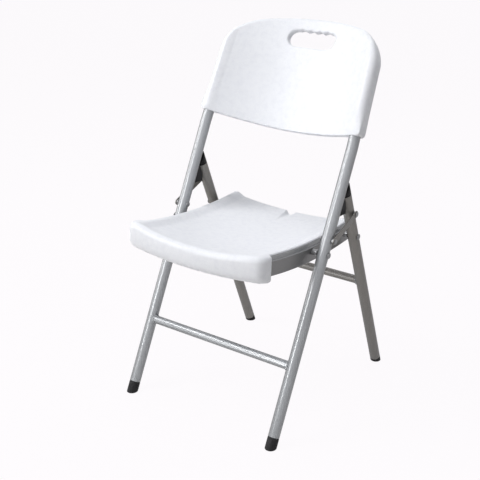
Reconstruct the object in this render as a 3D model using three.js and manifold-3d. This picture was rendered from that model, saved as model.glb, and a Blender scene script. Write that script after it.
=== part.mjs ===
// Folding chair: round steel legs, a moulded seat on pressed rails, a moulded back,
// and a four-bar fold on each side.
// Millimetres. +Z is up, the sitter faces -Y, and the origin is on the floor under the middle of the chair.
import * as THREE from 'three';
import { mergeVertices } from 'three/addons/utils/BufferGeometryUtils.js';
import Module from 'manifold-3d';

const wasm = await Module();
wasm.setup();

// ---------------------------------------------------------------- driving dimensions

const CLEARANCE = 0.3; // between pieces that seat on each other
const LEG_DIAMETER = 25;
const LEG_WALL = 1.2;
const BAR_DIAMETER = 19;
const BAR_WALL = 1;
const LEG_SPACING = 384; // between the axes of a left and a right leg
const FOOT_SPREAD = 495; // between the axes of a front and a rear leg, along the floor
const FRONT_LEAN = 24.2; // degrees from upright, towards the back
const LEGS_MEET_HEIGHT = 530.64; // where the axes of a front and a rear leg would cross
const FRONT_LEG_START = 24; // where the steel of a leg begins, along its axis from the floor
const REAR_LEG_START = 14;

const FRONT_CROSSBAR_AT = 176; // along the front leg
const REAR_CROSSBAR_AT = 288; // along the rear leg
const LEG_END_APART = 28; // between the axes of a front and a rear leg, where the rear leg's steel ends
const BEND_BELOW_BACK = 24; // from the back panel down to where the front legs start to lean inwards
const LEG_IN_BACK = 143; // how far a front leg reaches up inside the back panel
const FRONT_LEG_TAPER = 7; // how far each front leg leans inwards by its upper end

const SEAT_PIVOT_HEIGHT = 385; // seat on front leg
const REAR_PIVOT_HEIGHT = 389; // seat on rear leg
const LINK_PIVOT_HEIGHT = 414; // link on front leg
const FOLDED_CLEARANCE = 3; // between a rear leg and a front leg in the folded chair

const PIVOT_RADIUS = 4; // shank of the seat's rivets
const LINK_PIN_RADIUS = 3; // shank of the links' rivets
const HEAD_RADIUS = 7;
const HEAD_HEIGHT = 3.2;
const INNER_HEAD_HEIGHT = 2.4;
const INNER_HEAD_RADIUS = 5;
const SPACER_LENGTH = 12.9;
const SPACER_RADIUS = 7;
const LINK_THICKNESS = 2.5;
const LINK_WIDTH = 15;
const LINK_RUNNING_GAP = 0.5; // between a link and the seat's rivet head that it passes
const LINK_HEAD_RADIUS = 6;
const LINK_HEAD_HEIGHT = 2.6;
const LINK_INNER_HEAD_HEIGHT = 2;

const FOOT_INSERT = 18; // how far a rubber foot reaches up inside its leg
const PLUG_INSERT = 24; // how far a top plug reaches down inside its leg
const PLUG_CHAMFER = 2;

const RAIL_SHEET = 1.6;
const RAIL_HEIGHT = 42;
const RAIL_FLANGE = 12;
const RAIL_STEP = 4; // how far the rail's upper band lies inside its lower face
const RAIL_BAND = 9; // height of the upper band
const RAIL_RISE = 18.5; // rail's lowest top edge above the seat pivot
const RAIL_SHORT = 11; // from the rail's rear end to the seat's rear corner

const SEAT_AHEAD = 218; // seat's front edge ahead of the seat pivot, at the middle
const SEAT_BEHIND = 188; // seat's rear edge behind the seat pivot, at the middle
const SEAT_FRONT_BOW = 10; // how far the front edge bows forward
const SEAT_REAR_BOW = 8; // how far the rear edge bows backward
const SEAT_FRONT_ROUND = 18; // corners, seen from above
const SEAT_REAR_ROUND = 8;
const SEAT_SIDE_INSET = 2; // from the rail's upper band in to the panel's side
const NOSE_GAP = 5; // between the nose's side and the front leg
const NOSE_DEPTH = 56; // height of the rolled nose
const NOSE_LENGTH = 52; // from the front edge at the middle to the back of the nose
const NOSE_SAG = 10; // how far the nose's lower edge hangs at the middle
const NOSE_HEEL = 16; // rounding of the nose's lower rear edge
const NOSE_RIMS = [14, 13]; // rounding of the nose's lower and upper edges
const SEAT_RIMS = [6, 5]; // rounding of the panel's other lower and upper edges
const SEAT_LIP = 3; // moulded edge above the rail
const SEAT_DISH = 14.5; // depth of the saddle at the middle
const SEAT_BASIN = 4; // depth of the basin inside the nose and the side edges
const BASIN_WALL = 26; // width of the slope into the basin
const SEAT_FRONT_RISE = 30; // rise of the side edge from its low point to the front
const SEAT_REAR_RISE = 6.5;
const SEAT_LOW_BEHIND = 57; // low point of the side edge, behind the seat pivot
const SEAT_SLAB = 27; // from the rail's top edge to the middle of the seat's underside
const NOTCH_LENGTH = 50; // in the seat's rear edge
const NOTCH_WIDTH = 19;
const NOTCH_DEPTH = 7;
const POCKET_INSIDE_FLANGE = 10; // from a rail's flange to the pocket in the seat's underside
const POCKET_BEHIND_NOSE = 16;
const POCKET_AHEAD_OF_REAR = 25;
const WELLS_EACH_WAY = 4; // wells in the pocket, across and along
const WELL_DEPTH = 7;
const WELL_RADII = [7, 12]; // at its floor and at its mouth

const BACK_BOTTOM = 679; // along the front leg
const BACK_HEIGHT = 261; // at the middle, from the level of the lower corners
const BACK_ARCH = 32; // how far the top edge falls towards the corners
const BACK_SAG = 5.5; // how far the lower edge hangs at the middle
const BACK_CORNER = 80;
const BACK_CORNER_RISE = 13; // of the top edge, within the length of a corner
const BACK_LOWER_ROUND = 10;
const BACK_LEAN = 12; // how far the panel's top leans back from the legs
const BACK_WALL = 3.2; // plastic around a leg
const BACK_HOLLOW = 64; // how far the middle lies behind the side rolls
const BACK_THICKNESS = 17;
const SLOT_WIDTH = 122;
const SLOT_HEIGHT = 38;
const SLOT_BELOW_TOP = 34; // plastic above the hand slot
const SLOT_FINGERS = 4;
const SLOT_SCALLOP = 3; // depth of the finger scallops in the slot's upper edge
const BACK_SCREWS_ABOVE = [33, 121]; // above the panel's lower edge

const STOP_HEIGHT = 35;
const STOP_BELOW_LEG_END = 6; // from the end of the rear leg's steel down to the stop block's top
// Gaps between the stop block and the open chair's rear leg, at shares of the block's height.
// The leg swings through the lower gaps as the chair folds.
const STOP_GAPS = [[0, 8.9], [0.3, 4.5], [0.66, 1.7], [1, 0.6]];
const STOP_WIDTH = 11;
const STOP_PEG_RADIUS = 3;
const STOP_PEG_LENGTH = 10;
const STOP_PEG_ABOVE = 12; // from the block's lower face to its peg

const RAIL_FRONT_SCREW = 54; // behind the rail's front end
const RAIL_MIDDLE_SCREW = 40; // behind the seat pivot
const RAIL_REAR_SCREW = 19; // ahead of the rail's rear end
const RAIL_SCREW_LENGTH = 14;
const SCREW_RADIUS = 2;
const SCREW_HEAD_RADIUS = 4.5;
const SCREW_HEAD_HEIGHT = 2.4;
const SCREW_SEAT = 0.7; // under a screw's head, which rests on a curved face

// ---------------------------------------------------------------- sizes that follow

const radians = THREE.MathUtils.degToRad;
const FRONT_FOOT_TO_MEETING = LEGS_MEET_HEIGHT * Math.tan(radians(FRONT_LEAN));
const REAR_LEAN = THREE.MathUtils.radToDeg(
  Math.atan((FOOT_SPREAD - FRONT_FOOT_TO_MEETING) / LEGS_MEET_HEIGHT),
); // degrees from upright, towards the front
const LEG_X = LEG_SPACING / 2;
const LEG_R = LEG_DIAMETER / 2;
const BAR_R = BAR_DIAMETER / 2;
const LEG_INSIDE_X = LEG_X - LEG_R;
const LEG_OUTSIDE_X = LEG_X + LEG_R;
const RAIL_X = LEG_INSIDE_X - SPACER_LENGTH - 2 * CLEARANCE; // rail's outer face
const NOSE_X = LEG_INSIDE_X - NOSE_GAP;
const BAND_X = RAIL_X - RAIL_STEP; // outer face of the rail's upper band
const FLANGE_X = BAND_X - RAIL_FLANGE; // inner edge of the rail's flanges
const SEAT_SIDE_X = BAND_X - SEAT_SIDE_INSET;
const POCKET_X = FLANGE_X - POCKET_INSIDE_FLANGE;
const FOLDED_OFFSET = LEG_DIAMETER + FOLDED_CLEARANCE; // between leg axes in the folded chair
const LINK_INSIDE_X = LEG_OUTSIDE_X + CLEARANCE + HEAD_HEIGHT + LINK_RUNNING_GAP;

// Points in the side view are (y, z), with y counted from the front legs' axis on the floor.
const frontUp = new THREE.Vector2(Math.sin(radians(FRONT_LEAN)), Math.cos(radians(FRONT_LEAN)));
const frontBack = new THREE.Vector2(frontUp.y, -frontUp.x);
const rearUp = new THREE.Vector2(-Math.sin(radians(REAR_LEAN)), Math.cos(radians(REAR_LEAN)));
const onFrontLeg = (along) => frontUp.clone().multiplyScalar(along);
const onRearLeg = (along) => rearUp.clone().multiplyScalar(along).add(new THREE.Vector2(FOOT_SPREAD, 0));

const SEAT_PIVOT_AT = SEAT_PIVOT_HEIGHT / frontUp.y;
const LINK_PIVOT_AT = LINK_PIVOT_HEIGHT / frontUp.y;
const REAR_PIVOT_AT = REAR_PIVOT_HEIGHT / rearUp.y;
const seatPivot = onFrontLeg(SEAT_PIVOT_AT);
const linkPivot = onFrontLeg(LINK_PIVOT_AT);
const rearPivot = onRearLeg(REAR_PIVOT_AT);
const REAR_LEG_END = (FOOT_SPREAD * frontUp.y - LEG_END_APART) / Math.sin(radians(FRONT_LEAN + REAR_LEAN));
const STOP_HIGH = REAR_LEG_END * rearUp.y - STOP_BELOW_LEG_END;
const STOP_LOW = STOP_HIGH - STOP_HEIGHT;
const STOP_PEG_AT = (STOP_LOW + STOP_PEG_ABOVE) / frontUp.y;

const BACK_TOP = BACK_BOTTOM + BACK_HEIGHT;
const BACK_SCREWS_AT = BACK_SCREWS_ABOVE.map((above) => BACK_BOTTOM + above);
const FRONT_LEG_BEND = BACK_BOTTOM - BEND_BELOW_BACK;
const FRONT_LEG_END = BACK_BOTTOM + LEG_IN_BACK;

// The link's rear pin sits where the rear leg can lie flat behind the front leg, FOLDED_OFFSET away:
// its distance to the link's front pin has to be the same in the open and in the folded chair.
function linkPinAboveRearPivot() {
  const seatBar = seatPivot.distanceTo(rearPivot);
  const foldedDrop = Math.sqrt(seatBar ** 2 - FOLDED_OFFSET ** 2);
  const reach = LINK_PIVOT_AT - SEAT_PIVOT_AT + foldedDrop;
  const toLink = rearPivot.clone().sub(linkPivot);
  return (reach ** 2 + FOLDED_OFFSET ** 2 - toLink.lengthSq()) / (2 * (rearUp.dot(toLink) + reach));
}
const LINK_REAR_AT = REAR_PIVOT_AT + linkPinAboveRearPivot();
const linkRear = onRearLeg(LINK_REAR_AT);

const SEAT_FRONT_Y = seatPivot.x - SEAT_AHEAD;
const SEAT_REAR_Y = seatPivot.x + SEAT_BEHIND;
const NOSE_REAR_Y = SEAT_FRONT_Y + NOSE_LENGTH;
const RAIL_FRONT_Y = NOSE_REAR_Y + CLEARANCE;
const RAIL_REAR_Y = SEAT_REAR_Y - SEAT_REAR_BOW - RAIL_SHORT;
const POCKET_FRONT_Y = NOSE_REAR_Y + POCKET_BEHIND_NOSE;
const POCKET_REAR_Y = SEAT_REAR_Y - POCKET_AHEAD_OF_REAR;
const FLOOR_REAR_Y = FOOT_SPREAD + LEG_R / rearUp.y;
const CHAIR_MIDDLE_Y = (SEAT_FRONT_Y + FLOOR_REAR_Y) / 2;

// Top edge of the seat's rails, in the side view: it falls from the front to a low point and rises again.
function railTop(y) {
  const low = seatPivot.x + SEAT_LOW_BEHIND;
  const ahead = (low - y) / (low - SEAT_FRONT_Y);
  const behind = (y - low) / (SEAT_REAR_Y - low);
  const rise = y < low ? SEAT_FRONT_RISE * ahead ** 2 : SEAT_REAR_RISE * behind ** 2;
  return SEAT_PIVOT_HEIGHT + RAIL_RISE + rise;
}

// ---------------------------------------------------------------- materials

const finish = (color, roughness, metalness) => () => (
  new THREE.MeshStandardMaterial({ color, roughness, metalness })
);
const whitePlastic = finish(0xeef1f6, 0.55, 0);
const greyPaint = finish(0xa9aeb2, 0.38, 0.35);
const blackPlastic = finish(0x1c1c1e, 0.6, 0);
const darkRubber = finish(0x2d2d2f, 0.85, 0);
const bareSteel = finish(0xb9bbbd, 0.35, 0.9);

// ---------------------------------------------------------------- solids

// A closed three.js geometry as a solid: merged vertices, no degenerate triangles.
function toSolid(geometry) {
  const bare = new THREE.BufferGeometry();
  bare.setAttribute('position', geometry.getAttribute('position').clone());
  if (geometry.index) bare.setIndex(geometry.index.clone());
  const merged = mergeVertices(bare, 1e-4);
  const corners = merged.index.array;
  const kept = [];
  for (let i = 0; i < corners.length; i += 3) {
    const [a, b, c] = [corners[i], corners[i + 1], corners[i + 2]];
    if (a !== b && b !== c && c !== a) kept.push(a, b, c);
  }
  const vertProperties = new Float32Array(merged.getAttribute('position').array);
  return new wasm.Manifold(new wasm.Mesh({ numProp: 3, vertProperties, triVerts: new Uint32Array(kept) }));
}

function toGeometry(solid) {
  const { vertProperties, triVerts, numProp } = solid.getMesh();
  const positions = new Float32Array((vertProperties.length / numProp) * 3);
  for (let i = 0; i < positions.length / 3; i++) {
    for (let k = 0; k < 3; k++) positions[3 * i + k] = vertProperties[numProp * i + k];
  }
  const geometry = new THREE.BufferGeometry();
  geometry.setAttribute('position', new THREE.BufferAttribute(positions, 3));
  geometry.setIndex(new THREE.BufferAttribute(new Uint32Array(triVerts), 1));
  geometry.computeVertexNormals();
  return geometry;
}

const cut = (solid, ...tools) => tools.reduce((rest, tool) => rest.subtract(tool), solid);
const join = (solid, ...others) => others.reduce((sum, other) => sum.add(other), solid);

function addPiece(parent, name, solid, material) {
  const mesh = new THREE.Mesh(toGeometry(solid), material());
  mesh.name = name;
  parent.add(mesh);
  return mesh;
}

const sideName = (side) => (side < 0 ? 'left' : 'right');

// A round rod or hole along X, Y or Z through a point, from one place on that axis to another.
function rod(axis, at, from, to, radius, sides = 16) {
  const geometry = new THREE.CylinderGeometry(radius, radius, to - from, sides);
  geometry.translate(0, (from + to) / 2, 0);
  if (axis === 'x') geometry.rotateZ(-Math.PI / 2);
  if (axis === 'z') geometry.rotateX(Math.PI / 2);
  geometry.translate(...at);
  return toSolid(geometry);
}

// A block between two corners.
function block(low, high) {
  const size = high.map((value, i) => value - low[i]);
  const geometry = new THREE.BoxGeometry(...size);
  geometry.translate(...low.map((value, i) => value + size[i] / 2));
  return toSolid(geometry);
}

// A turned piece along X on one side of the chair.
// The profile lists [distance from the chair's middle, radius].
function turned(side, y, z, profile, sides = 12) {
  const points = profile.map(([x, radius]) => new THREE.Vector2(radius, x));
  const first = new THREE.Vector2(0, profile[0][0]);
  const last = new THREE.Vector2(0, profile[profile.length - 1][0]);
  const geometry = new THREE.LatheGeometry([first, ...points, last], sides);
  geometry.rotateZ(-Math.PI / 2);
  if (side < 0) geometry.rotateY(Math.PI);
  geometry.translate(0, y, z);
  return toSolid(geometry);
}

// A tube's route of straight runs and round bends.
// Sections stand only at the ends of a run and along the bends.
class TubeRoute extends THREE.Curve {
  constructor(corners, bendRadius, bendSteps) {
    super();
    this.stations = [this.station(corners[0], corners[1].clone().sub(corners[0]))];
    for (let i = 1; i < corners.length - 1; i++) {
      const before = corners[i].clone().sub(corners[i - 1]).normalize();
      const after = corners[i + 1].clone().sub(corners[i]).normalize();
      const setback = bendRadius * Math.tan(before.angleTo(after) / 2);
      const start = corners[i].clone().addScaledVector(before, -setback);
      const end = corners[i].clone().addScaledVector(after, setback);
      const bend = new THREE.QuadraticBezierCurve3(start, corners[i], end);
      for (let k = 0; k <= bendSteps; k++) {
        this.stations.push(this.station(bend.getPoint(k / bendSteps), bend.getTangent(k / bendSteps)));
      }
    }
    const last = corners[corners.length - 1];
    this.stations.push(this.station(last, last.clone().sub(corners[corners.length - 2])));
  }
  station(point, direction) {
    return { point: point.clone(), tangent: direction.clone().normalize() };
  }
  nearest(t) {
    return this.stations[Math.round(t * (this.stations.length - 1))];
  }
  getPoint(t) {
    return this.nearest(t).point.clone();
  }
  getTangent(t) {
    return this.nearest(t).tangent.clone();
  }
  getUtoTmapping(u) {
    return u;
  }
}

function tubeAlong(route, radius, wall, sides = 24) {
  const ring = new THREE.Shape().absarc(0, 0, radius, 0, 2 * Math.PI);
  if (wall) ring.holes.push(new THREE.Path().absarc(0, 0, radius - wall, 0, 2 * Math.PI));
  const steps = route.stations.length - 1;
  return toSolid(new THREE.ExtrudeGeometry(ring, { steps, extrudePath: route, curveSegments: sides / 2 }));
}

// A tube with square ends along Z.
function straightTube(x, from, to, radius, wall, sides = 24) {
  return cut(
    rod('z', [x, 0, 0], from, to, radius, sides),
    rod('z', [x, 0, 0], from - 1, to + 1, radius - wall, sides),
  );
}

// A profile in the side view (y, z) pushed out along X between two places.
function sidePlate(points, from, to) {
  const shape = new THREE.Shape(points);
  const geometry = new THREE.ExtrudeGeometry(shape, { depth: to - from, bevelEnabled: false });
  geometry.rotateZ(Math.PI / 2).rotateY(Math.PI / 2);
  geometry.translate(from, 0, 0);
  return toSolid(geometry);
}

// A section (x, height above the rail's top edge) run along the seat's side curve between two places in y.
function alongSeatCurve(section, fromY, toY, steps = 10) {
  const shape = new THREE.Shape(section.map(([x, z]) => new THREE.Vector2(x, z)));
  const geometry = new THREE.ExtrudeGeometry(shape, { depth: toY - fromY, steps, bevelEnabled: false });
  geometry.rotateX(Math.PI / 2);
  geometry.translate(0, toY, 0);
  const position = geometry.getAttribute('position');
  for (let i = 0; i < position.count; i++) {
    position.setZ(i, position.getZ(i) + railTop(position.getY(i)));
  }
  return toSolid(geometry);
}

// ---------------------------------------------------------------- moulded panels

// Points along a path: straight runs and long curves are split by length,
// tight curves into a set number of steps.
function pointsAlong(path, runLength, curveSteps) {
  const points = [];
  for (const curve of path.curves) {
    const long = Math.ceil(curve.getLength() / runLength);
    const steps = curve.isLineCurve ? long : Math.max(curveSteps, long);
    for (let k = 0; k < steps; k++) points.push(curve.getPoint(k / steps));
  }
  return points;
}

// A moulded panel with rounded rims, as rings from the middle of its near face over the rim to its far face.
// The outline runs anticlockwise in the panel's own plane (u, v).
// near(u, v) and far(u, v) give the two faces' places across the plane, near below far.
// rim(u, v) gives the rims' radii as [near, far], in rimSteps each.
// The rings of a face lie at its shares of the way from the middle to the rim.
function mouldedPanel(outline, near, far, rim, nearShares, farShares, rimSteps) {
  const count = outline.length;
  const middle = outline.reduce((sum, p) => sum.add(p), new THREE.Vector2()).divideScalar(count);
  const inward = outline.map((point, i) => {
    const next = outline[(i + 1) % count];
    const previous = outline[(i + count - 1) % count];
    const along = next.clone().sub(previous).normalize();
    return new THREE.Vector2(-along.y, along.x);
  });
  const rims = outline.map((point) => rim(point.x, point.y));
  const edge = (i, which) => outline[i].clone().addScaledVector(inward[i], rims[i][which]);
  const rings = [];
  const faceRing = (share, which, face) => {
    rings.push(outline.map((_, i) => {
      const p = middle.clone().lerp(edge(i, which), share);
      return [p.x, p.y, face(p.x, p.y)];
    }));
  };
  const rimRing = (turn, which, face, sign) => {
    rings.push(outline.map((point, i) => {
      const radius = rims[i][which];
      const p = point.clone().addScaledVector(inward[i], radius * (1 - Math.sin(turn)));
      const start = edge(i, which);
      return [p.x, p.y, face(start.x, start.y) + sign * radius * (1 - Math.cos(turn))];
    }));
  };
  const quarter = (k, steps) => (k / steps) * (Math.PI / 2);
  for (const share of nearShares) faceRing(share, 0, near);
  for (let k = 1; k <= rimSteps[0]; k++) rimRing(quarter(k, rimSteps[0]), 0, near, 1);
  for (let k = rimSteps[1]; k >= 1; k--) rimRing(quarter(k, rimSteps[1]), 1, far, -1);
  for (const share of [...farShares].reverse()) faceRing(share, 1, far);

  const positions = [middle.x, middle.y, near(middle.x, middle.y), ...rings.flat(2)];
  positions.push(middle.x, middle.y, far(middle.x, middle.y));
  const last = 1 + rings.length * count;
  const triangles = [];
  for (let i = 0; i < count; i++) {
    const j = (i + 1) % count;
    triangles.push(0, 1 + j, 1 + i);
    for (let r = 0; r < rings.length - 1; r++) {
      const [a, b] = [1 + r * count + i, 1 + r * count + j];
      triangles.push(a, b, b + count, a, b + count, a + count);
    }
    triangles.push(last - count + i, last - count + j, last);
  }
  const geometry = new THREE.BufferGeometry();
  geometry.setAttribute('position', new THREE.BufferAttribute(new Float32Array(positions), 3));
  geometry.setIndex(triangles);
  return geometry;
}

const blend = (value, from, to) => THREE.MathUtils.smoothstep(value, from, to);

// ---------------------------------------------------------------- back panel
// Made in the front legs' plane: x across, y behind the legs' axes, z along the legs.

function legInwards(along) {
  const share = (along - FRONT_LEG_BEND) / (FRONT_LEG_END - FRONT_LEG_BEND);
  return LEG_X - FRONT_LEG_TAPER * Math.max(share, 0);
}

// Above the ends of the legs the panel curves back.
function backLean(along) {
  const share = (along - FRONT_LEG_END) / (BACK_TOP - FRONT_LEG_END);
  return BACK_LEAN * Math.max(share, 0) ** 2;
}

const SOCKET_R = LEG_R + CLEARANCE;
const ROLL_R = SOCKET_R + BACK_WALL;
const CORNER_PULL = 0.5; // how far a corner's handles reach, as a share of the corner

function backOutline() {
  const low = legInwards(BACK_BOTTOM) + ROLL_R;
  const high = legInwards(FRONT_LEG_END) + ROLL_R;
  const round = BACK_LOWER_ROUND;
  const cornerTop = BACK_TOP - BACK_ARCH;
  const shoulder = cornerTop - BACK_CORNER;
  const crown = cornerTop + BACK_CORNER_RISE;
  const upright = shoulder + BACK_CORNER * CORNER_PULL;
  const level = high - BACK_CORNER * CORNER_PULL;
  const path = new THREE.Path();
  path.moveTo(-low + round, BACK_BOTTOM);
  path.quadraticCurveTo(0, BACK_BOTTOM - 2 * BACK_SAG, low - round, BACK_BOTTOM);
  path.quadraticCurveTo(low, BACK_BOTTOM, low, BACK_BOTTOM + round);
  path.lineTo(high, shoulder);
  path.bezierCurveTo(high, upright, level, cornerTop, high - BACK_CORNER, crown);
  path.quadraticCurveTo(0, 2 * BACK_TOP - crown, -high + BACK_CORNER, crown);
  path.bezierCurveTo(-level, cornerTop, -high, upright, -high, shoulder);
  path.lineTo(-low, BACK_BOTTOM + round);
  path.quadraticCurveTo(-low, BACK_BOTTOM, -low + round, BACK_BOTTOM);
  return pointsAlong(path, 34, 4);
}

// Front face: a roll round the front of each leg, and a hollow between them.
function backFront(x, along) {
  const fromLeg = Math.max(legInwards(along) - Math.abs(x), 0);
  const share = 1 - fromLeg / legInwards(along);
  const hollow = BACK_HOLLOW * (1 - share ** 2) - ROLL_R;
  const roll = fromLeg < ROLL_R ? -Math.sqrt(ROLL_R ** 2 - fromLeg ** 2) : hollow;
  return backLean(along) + Math.min(hollow, roll);
}

function backRear(x, along) {
  return Math.max(backFront(x, along) + BACK_THICKNESS, backLean(along) + ROLL_R);
}

// The rims are as round as the side rolls at the sides, and tighter at the lower edge.
function backRim(x, along) {
  const up = blend(along, BACK_BOTTOM + 8, BACK_BOTTOM + 60);
  const high = blend(along, BACK_TOP - 100, BACK_TOP - 50);
  const [lowerEdge, frontGrowth, rearGrowth, topLoss] = [2.6, ROLL_R - 4.6, 2, 5];
  return [lowerEdge + frontGrowth * up - topLoss * high, lowerEdge + rearGrowth * up];
}

function handSlot() {
  const top = BACK_TOP - SLOT_BELOW_TOP;
  const end = SLOT_WIDTH / 2 - SLOT_HEIGHT / 2;
  const middle = top - SLOT_HEIGHT / 2;
  const shape = new THREE.Shape();
  shape.moveTo(-end, middle - SLOT_HEIGHT / 2);
  shape.lineTo(end, middle - SLOT_HEIGHT / 2);
  shape.absarc(end, middle, SLOT_HEIGHT / 2, -Math.PI / 2, Math.PI / 2);
  const pitch = (2 * end) / SLOT_FINGERS;
  for (let k = 0; k < SLOT_FINGERS; k++) {
    const x = end - (k + 1) * pitch;
    shape.quadraticCurveTo(x + pitch / 2, top + 2 * SLOT_SCALLOP, x, top);
  }
  shape.absarc(-end, middle, SLOT_HEIGHT / 2, Math.PI / 2, 1.5 * Math.PI);
  const depth = BACK_HOLLOW + 2 * BACK_THICKNESS;
  const geometry = new THREE.ExtrudeGeometry(shape, { depth, bevelEnabled: false, curveSegments: 8 });
  geometry.rotateX(Math.PI / 2).translate(0, depth, 0);
  return toSolid(geometry);
}

function frontLegTube(side, radius, wall, end) {
  return tubeAlong(new TubeRoute([
    new THREE.Vector3(side * LEG_X, 0, FRONT_LEG_START),
    new THREE.Vector3(side * LEG_X, 0, FRONT_LEG_BEND),
    new THREE.Vector3(side * legInwards(end), 0, end),
  ], 200, 2), radius, wall);
}

function backPanel() {
  const frontShares = [0.35, 0.6, 0.78, 0.88, 0.92, 0.945, 0.97, 1];
  const rearShares = [0.35, 0.6, 0.78, 0.9, 1];
  const outline = backOutline();
  const geometry = mouldedPanel(outline, backFront, backRear, backRim, frontShares, rearShares, [4, 2]);
  geometry.applyMatrix4(new THREE.Matrix4().makeBasis(
    new THREE.Vector3(1, 0, 0), new THREE.Vector3(0, 0, 1), new THREE.Vector3(0, 1, 0),
  ));
  flipTriangles(geometry);
  const sockets = [-1, 1].map((side) => frontLegTube(side, SOCKET_R, 0, FRONT_LEG_END + CLEARANCE));
  const holes = [];
  for (const side of [-1, 1]) {
    for (const at of BACK_SCREWS_AT) {
      holes.push(rod('y', [side * legInwards(at), 0, at], 0, ROLL_R + 5, SCREW_RADIUS + CLEARANCE, 10));
    }
  }
  return cut(toSolid(geometry), ...sockets, handSlot(), ...holes);
}

function flipTriangles(geometry) {
  const corners = geometry.index.array;
  for (let i = 0; i < corners.length; i += 3) [corners[i], corners[i + 1]] = [corners[i + 1], corners[i]];
}

// ---------------------------------------------------------------- seat panel

function seatOutline() {
  const frontY = SEAT_FRONT_Y + SEAT_FRONT_BOW;
  const rearY = SEAT_REAR_Y - SEAT_REAR_BOW;
  const [front, rear] = [SEAT_FRONT_ROUND, SEAT_REAR_ROUND];
  const [wide, narrow] = [NOSE_X, SEAT_SIDE_X];
  const [stepFrom, stepTo] = [NOSE_REAR_Y - 12, NOSE_REAR_Y + 8]; // where the side steps in behind the nose
  const path = new THREE.Path();
  path.moveTo(-wide + front, frontY);
  path.quadraticCurveTo(0, SEAT_FRONT_Y - SEAT_FRONT_BOW, wide - front, frontY);
  path.quadraticCurveTo(wide, frontY + front * 0.1, wide, frontY + front);
  path.lineTo(wide, stepFrom);
  path.bezierCurveTo(wide, NOSE_REAR_Y, narrow, NOSE_REAR_Y - 6, narrow, stepTo);
  path.lineTo(narrow, rearY - rear);
  path.quadraticCurveTo(narrow, rearY, narrow - rear, rearY);
  path.quadraticCurveTo(0, SEAT_REAR_Y + SEAT_REAR_BOW, -narrow + rear, rearY);
  path.quadraticCurveTo(-narrow, rearY, -narrow, rearY - rear);
  path.lineTo(-narrow, stepTo);
  path.bezierCurveTo(-narrow, NOSE_REAR_Y - 6, -wide, NOSE_REAR_Y, -wide, stepFrom);
  path.lineTo(-wide, frontY + front);
  path.quadraticCurveTo(-wide, frontY + front * 0.1, -wide + front, frontY);
  return pointsAlong(path, 34, 5);
}

// Top face: side edges level with the rails, a saddle between them, and a basin behind the nose.
function seatTop(x, y) {
  const share = Math.min(Math.abs(x) / (FLANGE_X - 2), 1);
  const dish = SEAT_DISH * (1 - share ** 2.2);
  const brow = SEAT_FRONT_Y + SEAT_FRONT_BOW + NOSE_RIMS[1] - 3;
  const behindBrow = blend(y, brow, brow + BASIN_WALL);
  const insideEdge = 1 - blend(Math.abs(x), SEAT_SIDE_X - 6 - BASIN_WALL, SEAT_SIDE_X - 6);
  return railTop(y) + SEAT_LIP - dish - SEAT_BASIN * behindBrow * insideEdge;
}

const noseSag = (x) => NOSE_SAG * (1 - Math.min(Math.abs(x) / NOSE_X, 1) ** 2);

function seatBottom(x, y) {
  return railTop(Math.min(y, seatPivot.x)) + SEAT_LIP - NOSE_DEPTH - noseSag(x);
}

// The space below the rounded heel of the nose.
function belowHeel() {
  const rear = NOSE_REAR_Y;
  const front = rear - NOSE_HEEL;
  const shape = new THREE.Shape();
  shape.moveTo(front, seatBottom(NOSE_X, front) - NOSE_HEEL);
  shape.lineTo(rear + 1, seatBottom(NOSE_X, rear) - NOSE_HEEL);
  shape.lineTo(rear + 1, seatBottom(NOSE_X, rear) + NOSE_HEEL);
  shape.lineTo(rear, seatBottom(NOSE_X, rear) + NOSE_HEEL);
  shape.quadraticCurveTo(rear, seatBottom(NOSE_X, rear), front, seatBottom(NOSE_X, front));
  const depth = 2 * NOSE_X + 10;
  const settings = { depth, steps: 12, bevelEnabled: false, curveSegments: 5 };
  const geometry = new THREE.ExtrudeGeometry(shape, settings);
  geometry.rotateZ(Math.PI / 2).rotateY(Math.PI / 2).translate(-depth / 2, 0, 0);
  const position = geometry.getAttribute('position');
  for (let i = 0; i < position.count; i++) {
    position.setZ(i, position.getZ(i) - noseSag(position.getX(i)));
  }
  return toSolid(geometry);
}

// The nose is rolled generously, above and below. The other edges are tight.
function seatRim(x, y) {
  const behindNose = blend(y, NOSE_REAR_Y - 27, NOSE_REAR_Y + 23);
  return NOSE_RIMS.map((radius, i) => THREE.MathUtils.lerp(radius, SEAT_RIMS[i], behindNose));
}

// The space of a rail's top flange and band, and all that lies outside and below them.
const railSection = (side, grow) => {
  const inner = BAND_X - RAIL_SHEET - grow;
  const [outside, below] = [RAIL_X + 20, -90];
  return [
    [FLANGE_X - grow, grow], [outside, grow], [outside, below], [inner, below],
    [inner, -RAIL_SHEET - grow], [FLANGE_X - grow, -RAIL_SHEET - grow],
  ].map(([x, z]) => [side * x, z]);
};

function seatPanel() {
  const bottomShares = [0.7, 1];
  const topShares = [0.3, 0.55, 0.72, 0.82, 0.88, 0.94, 1];
  const outline = seatOutline();
  const geometry = mouldedPanel(outline, seatBottom, seatTop, seatRim, bottomShares, topShares, [4, 4]);
  const past = SEAT_REAR_Y + 20;
  const underside = -RAIL_HEIGHT + RAIL_SHEET + CLEARANCE;
  const box = (x, high, low) => [[-x, high], [x, high], [x, low], [-x, low]];
  const tools = [
    alongSeatCurve(box(300, underside, -120), NOSE_REAR_Y, past),
    alongSeatCurve(box(POCKET_X, -SEAT_SLAB, -60), POCKET_FRONT_Y, POCKET_REAR_Y),
    alongSeatCurve(railSection(-1, CLEARANCE), NOSE_REAR_Y, past),
    alongSeatCurve(railSection(1, CLEARANCE), NOSE_REAR_Y, past),
    belowHeel(),
    rearNotch(),
    ...railScrewPlaces().map(([x, y]) => railScrewHole(x, y)),
    ...pinchWells(),
  ];
  return cut(toSolid(geometry), ...tools);
}

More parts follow.
